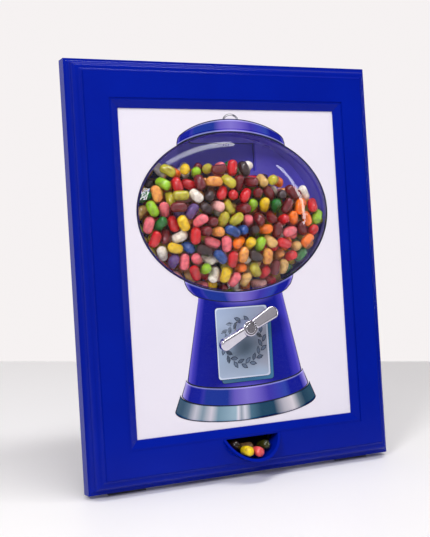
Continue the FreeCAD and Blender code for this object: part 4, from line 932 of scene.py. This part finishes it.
@dataclass
class PrintedMachine:
    """Printed figure round the window: loop, cap, collar, body, skirt, base and coin plate."""

    hole: float = 8.8
    clear: float = 6.0
    body_steps: int = 9

    def build(self) -> bpy.types.Object:
        """Prints the figure plate by plate and joins it into one piece."""
        foot, neck = Curve(60.6, 93.6, 82.6), Curve(43.8, 172.0, 166.0)
        plates = [
            PrintBand("loop", 0, LOOP_PRINT, 0.4, steps=20, rows=(
                Curve(6.2, 335.0, 339.0), Curve(8.2, 335.0, 340.8))),
            PrintBand("cap", 1, CAP_PRINT, opening=56.0, rows=(
                Curve(59.0, 309.0, 323.5), Curve(58.8, 312.2, 327.2), Curve(57.6, 316.2, 332.4),
                Curve(55.6, 318.7, 336.0))),
            PrintBand("body", 0, BODY_PRINT, hole=self.hole + self.clear, rows=tuple(
                foot.towards(neck, index / self.body_steps) for index in range(self.body_steps + 1))),
            PrintBand("collar", 1, COLLAR_PRINT, opening=36.0, rows=(
                Curve(44.2, 169.0, 162.4), Curve(49.6, 171.8, 164.2), Curve(54.6, 176.6, 167.4),
                Curve(57.4, 182.2, 170.4), Curve(58.2, 186.5, 172.6))),
            GlobeLine("globe_line", 3, INK_PRINT, 0.0),
            PrintBand("skirt", 1, SKIRT_PRINT, rows=(Curve(67.2, 80.7, 65.5), Curve(61.6, 94.6, 82.8))),
            PrintBand("base", 2, BASE_PRINT, rows=(Curve(74.8, 66.2, 51.0), Curve(68.4, 81.4, 66.0))),
            PrintTablet("plate_side", 1, PLATE_SIDE_PRINT, 0.4, hole=self.hole, corners=(
                (-25.4, 87.0), (30.0, 87.4), (30.4, 155.4), (-27.6, 156.6))),
            PrintTablet("plate_light", 2, PLATE_LIGHT_PRINT, 0.3, hole=self.hole, corners=(
                (-28.8, 90.8), (26.6, 90.8), (26.6, 158.4), (-28.8, 158.4))),
            PrintTablet("plate_face", 3, PLATE_PRINT, 0.0, hole=self.hole, corners=(
                (-27.4, 92.4), (24.6, 92.4), (24.6, 156.9), (-27.4, 156.9))),
            LeafRing("leaf_ring", 4, LEAF_PRINT, 0.5),
        ]
        printed = Bench.joined([plate.build() for plate in plates], "printed_machine")
        Bench.lean(printed)
        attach(printed, Body.MACHINE.value)
        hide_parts("machine_label")
        return printed


@dataclass
class GlobeWindow:
    """Clear dome with its neck and flange."""

    centre: float = 248.0
    half_width: float = 100.0
    half_height: float = 75.0
    bulge: float = 24.0
    cut: float = 0.4
    flange_front: float = 18.6
    flange_width: float = 6.8
    wall: float = 1.5

    def build(self) -> bpy.types.Object:
        """Forms the dome: a stretched ball cut at the panel, with neck and flange drawn from its edge."""
        depth = self.bulge / (1.0 - self.cut)
        share = math.sqrt(1.0 - self.cut ** 2)
        back = PANEL_FRONT - self.cut * depth
        bpy.ops.object.select_all(action="DESELECT")
        bpy.ops.mesh.primitive_uv_sphere_add(segments=96, ring_count=64, radius=1.0,
                                             location=(0.0, -back * MM, self.centre * MM),
                                             rotation=UPRIGHT)
        dome = Bench.named("globe_dome")
        dome.scale = (self.half_width / share * MM, self.half_height / share * MM, depth * MM)
        Bench.settle(dome)
        with Bench.editing(dome):
            bpy.ops.mesh.select_all(action="SELECT")
            bpy.ops.mesh.bisect(plane_co=(0.0, -PANEL_FRONT * MM, 0.0), plane_no=(0.0, 1.0, 0.0),
                                clear_outer=True)
            Bench.pick(dome, Element.EDGE, lambda edge: edge.is_boundary)
            bpy.ops.mesh.extrude_edges_move(
                TRANSFORM_OT_translate={"value": (0.0, (PANEL_FRONT - self.flange_front) * MM, 0.0)})
            bpy.ops.mesh.extrude_edges_move()
            grow = ((self.half_width + self.flange_width) / self.half_width, 1.0,
                    (self.half_height + self.flange_width) / self.half_height)
            bpy.ops.transform.resize(value=grow, center_override=(0.0, 0.0, self.centre * MM))
        Bench.outward(dome)
        Bench.applied(dome, "SOLIDIFY", thickness=self.wall * MM, offset=-1.0)
        Bench.smooth(Bench.lean(dome), 40.0)
        dome.data.materials.append(ClearFinish().build())
        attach(dome, Body.MACHINE.value)
        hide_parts("globe_window")
        return dome


@dataclass(frozen=True)
class Flavour:
    """Colour of one kind of bean, how often it turns up and how speckled it is."""

    tone: Tone
    share: int
    speckle: float = 0.0


FLAVOURS = (
    Flavour((206, 8, 20), 15), Flavour((112, 6, 18), 8), Flavour((252, 120, 4), 11),
    Flavour((244, 168, 72), 6, 1.0), Flavour((248, 206, 14), 10), Flavour((150, 202, 20), 8),
    Flavour((24, 116, 40), 5), Flavour((242, 112, 122), 8), Flavour((250, 188, 180), 7, 0.7),
    Flavour((250, 242, 226), 7), Flavour((226, 182, 104), 6), Flavour((92, 66, 136), 6, 0.3),
    Flavour((44, 16, 16), 5), Flavour((28, 74, 150), 3), Flavour((190, 184, 40), 5, 0.4),
)
CUP_FLAVOURS = (
    Flavour((34, 20, 12), 1), Flavour((238, 206, 14), 1), Flavour((120, 92, 62), 1),
    Flavour((244, 92, 92), 1, 0.2), Flavour((52, 54, 16), 1),
)


@dataclass
class BeanShape:
    """One jelly bean, modelled once: a stretched ball with a slight kidney bend."""

    COLOUR = "bean_colour"

    radius: float = 4.95
    stretch: float = 3.1
    bend: float = 0.55
    tip: float = 2.4

    def build(self) -> bpy.types.Object:
        """Forms the bean along Z at the bench's origin."""
        bpy.ops.object.select_all(action="DESELECT")
        bpy.ops.mesh.primitive_uv_sphere_add(segments=12, ring_count=8, radius=self.radius * MM)
        bean = Bench.named("bean")
        with Bench.editing(bean):
            for side in (1.0, -1.0):
                Bench.pick(bean, Element.POINT, lambda vert: vert.co.z * side > 1e-5)
                bpy.ops.transform.translate(value=(0.0, 0.0, side * self.stretch * MM))
                far = (self.stretch + self.tip) * MM
                Bench.pick(bean, Element.POINT, lambda vert: vert.co.z * side > far)
                bpy.ops.transform.translate(value=(-self.bend * MM, 0.0, 0.0))
            Bench.pick(bean, Element.POINT, lambda vert: abs(vert.co.z) < 1e-5)
            bpy.ops.transform.translate(value=(0.5 * self.bend * MM, 0.0, 0.0))
            bpy.ops.transform.resize(value=(0.98, 1.0, 1.0), center_override=ORIGIN)
        Bench.only(bean)
        bpy.ops.object.shade_smooth()
        return bean


@dataclass
class BeanHeap:
    """Heap of beans that lies where a node's solid beans lie."""

    name: str
    node: str
    flavours: tuple[Flavour, ...]
    seed: int
    in_order: bool = False

    def build(self) -> bpy.types.Object:
        """Copies the bean to each place, gives it a flavour and joins the heap."""
        draw = random.Random(self.seed)
        pattern = BeanShape().build()
        solids = loose_solids(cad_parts[self.node])
        copies = []
        for index, points in enumerate(solids):
            middle = 0.5 * (points.min(axis=0) + points.max(axis=0))
            spread = points - points.mean(axis=0)
            way = Vector(np.linalg.eigh(spread.T @ spread)[1][:, 2])
            roll = Matrix.Rotation(draw.uniform(0.0, 2.0 * math.pi), 4, "Z")
            turn = Vector((0.0, 0.0, 1.0)).rotation_difference(way).to_matrix().to_4x4()
            bean = Bench.copy(pattern, Matrix.Translation(Vector(middle)) @ turn @ roll)
            if self.in_order:
                kind = self.flavours[index % len(self.flavours)]
            else:
                kind = draw.choices(self.flavours, [flavour.share for flavour in self.flavours])[0]
            self.tint(bean, kind, draw.uniform(0.9, 1.08))
            copies.append(bean)
        Bench.discard(pattern)
        heap = Bench.settle(Bench.joined(copies, self.name))
        heap.data.materials.append(shared(CandyFinish()))
        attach(heap, Body.MACHINE.value)
        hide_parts(self.node)
        LOG.info("%s holds %d beans", self.name, len(solids))
        return heap

    @staticmethod
    def tint(bean: bpy.types.Object, kind: Flavour, depth: float) -> None:
        """Writes a bean's colour and speckle on its points."""
        colour = [min(1.0, part * depth) for part in linear(kind.tone)[:3]] + [kind.speckle]
        layer = bean.data.color_attributes.new(BeanShape.COLOUR, "FLOAT_COLOR", "POINT")
        layer.data.foreach_set("color", colour * len(bean.data.vertices))


class CadDress:
    """Finishes for the solid nodes that stay in view."""

    @staticmethod
    def assign(node: str, material: bpy.types.Material) -> None:
        """Puts one material on a node."""
        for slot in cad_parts[node].material_slots:
            slot.material = material

    @staticmethod
    def dress() -> None:
        """Dresses every remaining node by its finish."""
        plan = (
            (FRAME_BLUE, ("front_frame", "dispensing_cup")),
            (PANEL_WHITE, ("picture_panel",)),
            (BIN_BLUE, ("hopper",)),
            (COVER_BLUE, ("rear_cover", "stand_bracket", "stand_leg")),
            # The fill door's lightened tone is painted light against the shade in the fill port.
            (FLAP_BLUE_PAINTED_LIGHT, ("fill_door",)),
            (WORKS_WHITE, ("drum_cover", "metering_wheel")),
            # The chute's near-black finish is painted shade for the inside of the cup.
            (CHUTE_PAINTED_SHADE, ("chute",)),
            (FOOT_RUBBER, ("stand_foot", "front_feet")),
            (TURNED_BRASS, ("shaft_bush",)),
            (BRIGHT_STEEL, ("drive_shaft", "drive_pin", "knob_screw", "door_pin", "stand_pin",
                            "rear_cover_screws", "hopper_screws", "bracket_screws", "chute_screws")),
            (KNOB_PLATE, ("knob", "knob_cap")),
        )
        for finish, nodes in plan:
            material = finish.build()
            for node in nodes:
                CadDress.assign(node, material)
                LOG.info("%s is finished in %s", node, finish.name)


@dataclass(frozen=True)
class Lamp:
    """One soft lamp: its place and size in metres and its power in watts."""

    name: str
    place: Triple
    size: tuple[float, float]
    power: float

    def hang(self, target: Vector) -> None:
        """Hangs the lamp and points it at a target."""
        data = bpy.data.lights.new(self.name, "AREA")
        data.shape = "RECTANGLE"
        data.size, data.size_y = self.size
        data.energy = self.power
        lamp = bpy.data.objects.new(self.name, data)
        aim = (target - Vector(self.place)).to_track_quat("-Z", "Y")
        lamp.matrix_world = Matrix.Translation(self.place) @ aim.to_matrix().to_4x4()
        bpy.context.scene.collection.objects.link(lamp)


LAMPS = (
    Lamp("key", (-1.5, -1.2, 1.4), (0.5, 0.5), 23.0),
    Lamp("side", (1.3, -0.7, 0.7), (0.07, 1.1), 4.0),
    Lamp("top", (0.1, -0.4, 1.5), (1.0, 0.2), 9.0),
)


@dataclass
class Studio:
    """Pale floor, soft lamps and the camera."""

    eye: Triple = (-0.4531, -0.9047, 0.3108)
    right: Triple = (0.89911, -0.43774, 0.0)
    up: Triple = (0.05009, 0.10288, 0.99343)
    lens: float = 70.52
    sensor: float = 36.0
    table_depth: float = 0.5
    table_size: tuple[float, float] = (3.0, 1.7)
    target: Triple = (0.0, 0.0, 0.2)
    room_tone: Tone = (248, 244, 244)
    room_seen: float = 0.98
    room_light: float = 0.42

    def camera(self) -> None:
        """Stands the camera where the picture was taken from."""
        data = bpy.data.cameras.new("camera")
        data.sensor_fit = "VERTICAL"
        data.sensor_height = self.sensor
        data.lens = self.lens
        eye = bpy.data.objects.new("camera", data)
        right, up = Vector(self.right), Vector(self.up)
        turn = Matrix((right, up, right.cross(up))).transposed().to_4x4()
        eye.matrix_world = Matrix.Translation(Vector(self.eye)) @ turn
        bpy.context.scene.collection.objects.link(eye)
        bpy.context.scene.camera = eye

    def floor(self) -> None:
        """Lays the pale table top, which ends a little way behind the frame."""
        ahead = Vector(self.right).cross(Vector(self.up)) * -1.0
        ahead.z = 0.0
        ahead.normalize()
        bpy.ops.object.select_all(action="DESELECT")
        middle = ahead * (self.table_depth - 0.5 * self.table_size[1])
        bpy.ops.mesh.primitive_plane_add(size=1.0, location=middle,
                                         rotation=(0.0, 0.0, math.atan2(-ahead.x, ahead.y)))
        floor = Bench.named("floor")
        floor.scale = (*self.table_size, 1.0)
        Bench.settle(floor)
        material, graph, shader = started_material("pale_table")
        spot = graph.spot()
        soft = graph.noise(spot, 3.0)
        colour = graph.mix(soft, linear((253, 252, 252)), linear((250, 248, 249)))
        graph.feed(shader.inputs["Base Color"], colour)
        graph.feed(shader.inputs["Roughness"], 0.45)
        graph.feed(shader.inputs["Specular IOR Level"], 0.25)
        floor.data.materials.append(material)

    def world(self) -> None:
        """Sets the pale surroundings: plain to look at, softer as light."""
        world = bpy.data.worlds.new("surroundings")
        bpy.context.scene.world = world
        world.use_nodes = True
        graph = Graph(world.node_tree)
        back = world.node_tree.nodes["Background"]
        path = graph.add("ShaderNodeLightPath")
        way = graph.add("ShaderNodeSeparateXYZ", {0: graph.add("ShaderNodeTexCoord").outputs["Generated"]})
        behind = graph.span(way.outputs["Y"], -0.3, 0.5, 0.5, 1.0)
        mirrored = graph.math("MULTIPLY", behind, graph.span(way.outputs["X"], 0.2, 0.7, 0.95, 0.1))
        seen = graph.math("MAXIMUM", path.outputs["Is Camera Ray"], path.outputs["Is Transmission Ray"])
        lit = graph.span(path.outputs["Is Glossy Ray"], 0.0, 1.0, self.room_light, mirrored)
        graph.feed(back.inputs["Color"], linear(self.room_tone))
        graph.feed(back.inputs["Strength"], graph.span(seen, 0.0, 1.0, lit, self.room_seen))

    def build(self) -> None:
        """Sets the whole stage."""
        bpy.context.scene.view_settings.view_transform = "Standard"
        self.camera()
        self.floor()
        self.world()
        for lamp in LAMPS:
            lamp.hang(Vector(self.target))


def main() -> None:
    """Builds and dresses the whole object."""
    logging.basicConfig(level=logging.INFO, format="%(message)s")
    Studio().build()
    CadDress.dress()
    pieces = [
        PrintedMachine().build(),
        GlobeWindow().build(),
        BeanHeap("bean_heap", "jelly_beans", FLAVOURS, 11).build(),
        BeanHeap("cup_bean_set", "cup_beans", CUP_FLAVOURS, 5, True).build(),
    ]
    for piece in pieces:
        LOG.info("%s has %d faces", piece.name, len(piece.data.polygons))


if __name__ == "__main__":
    main()
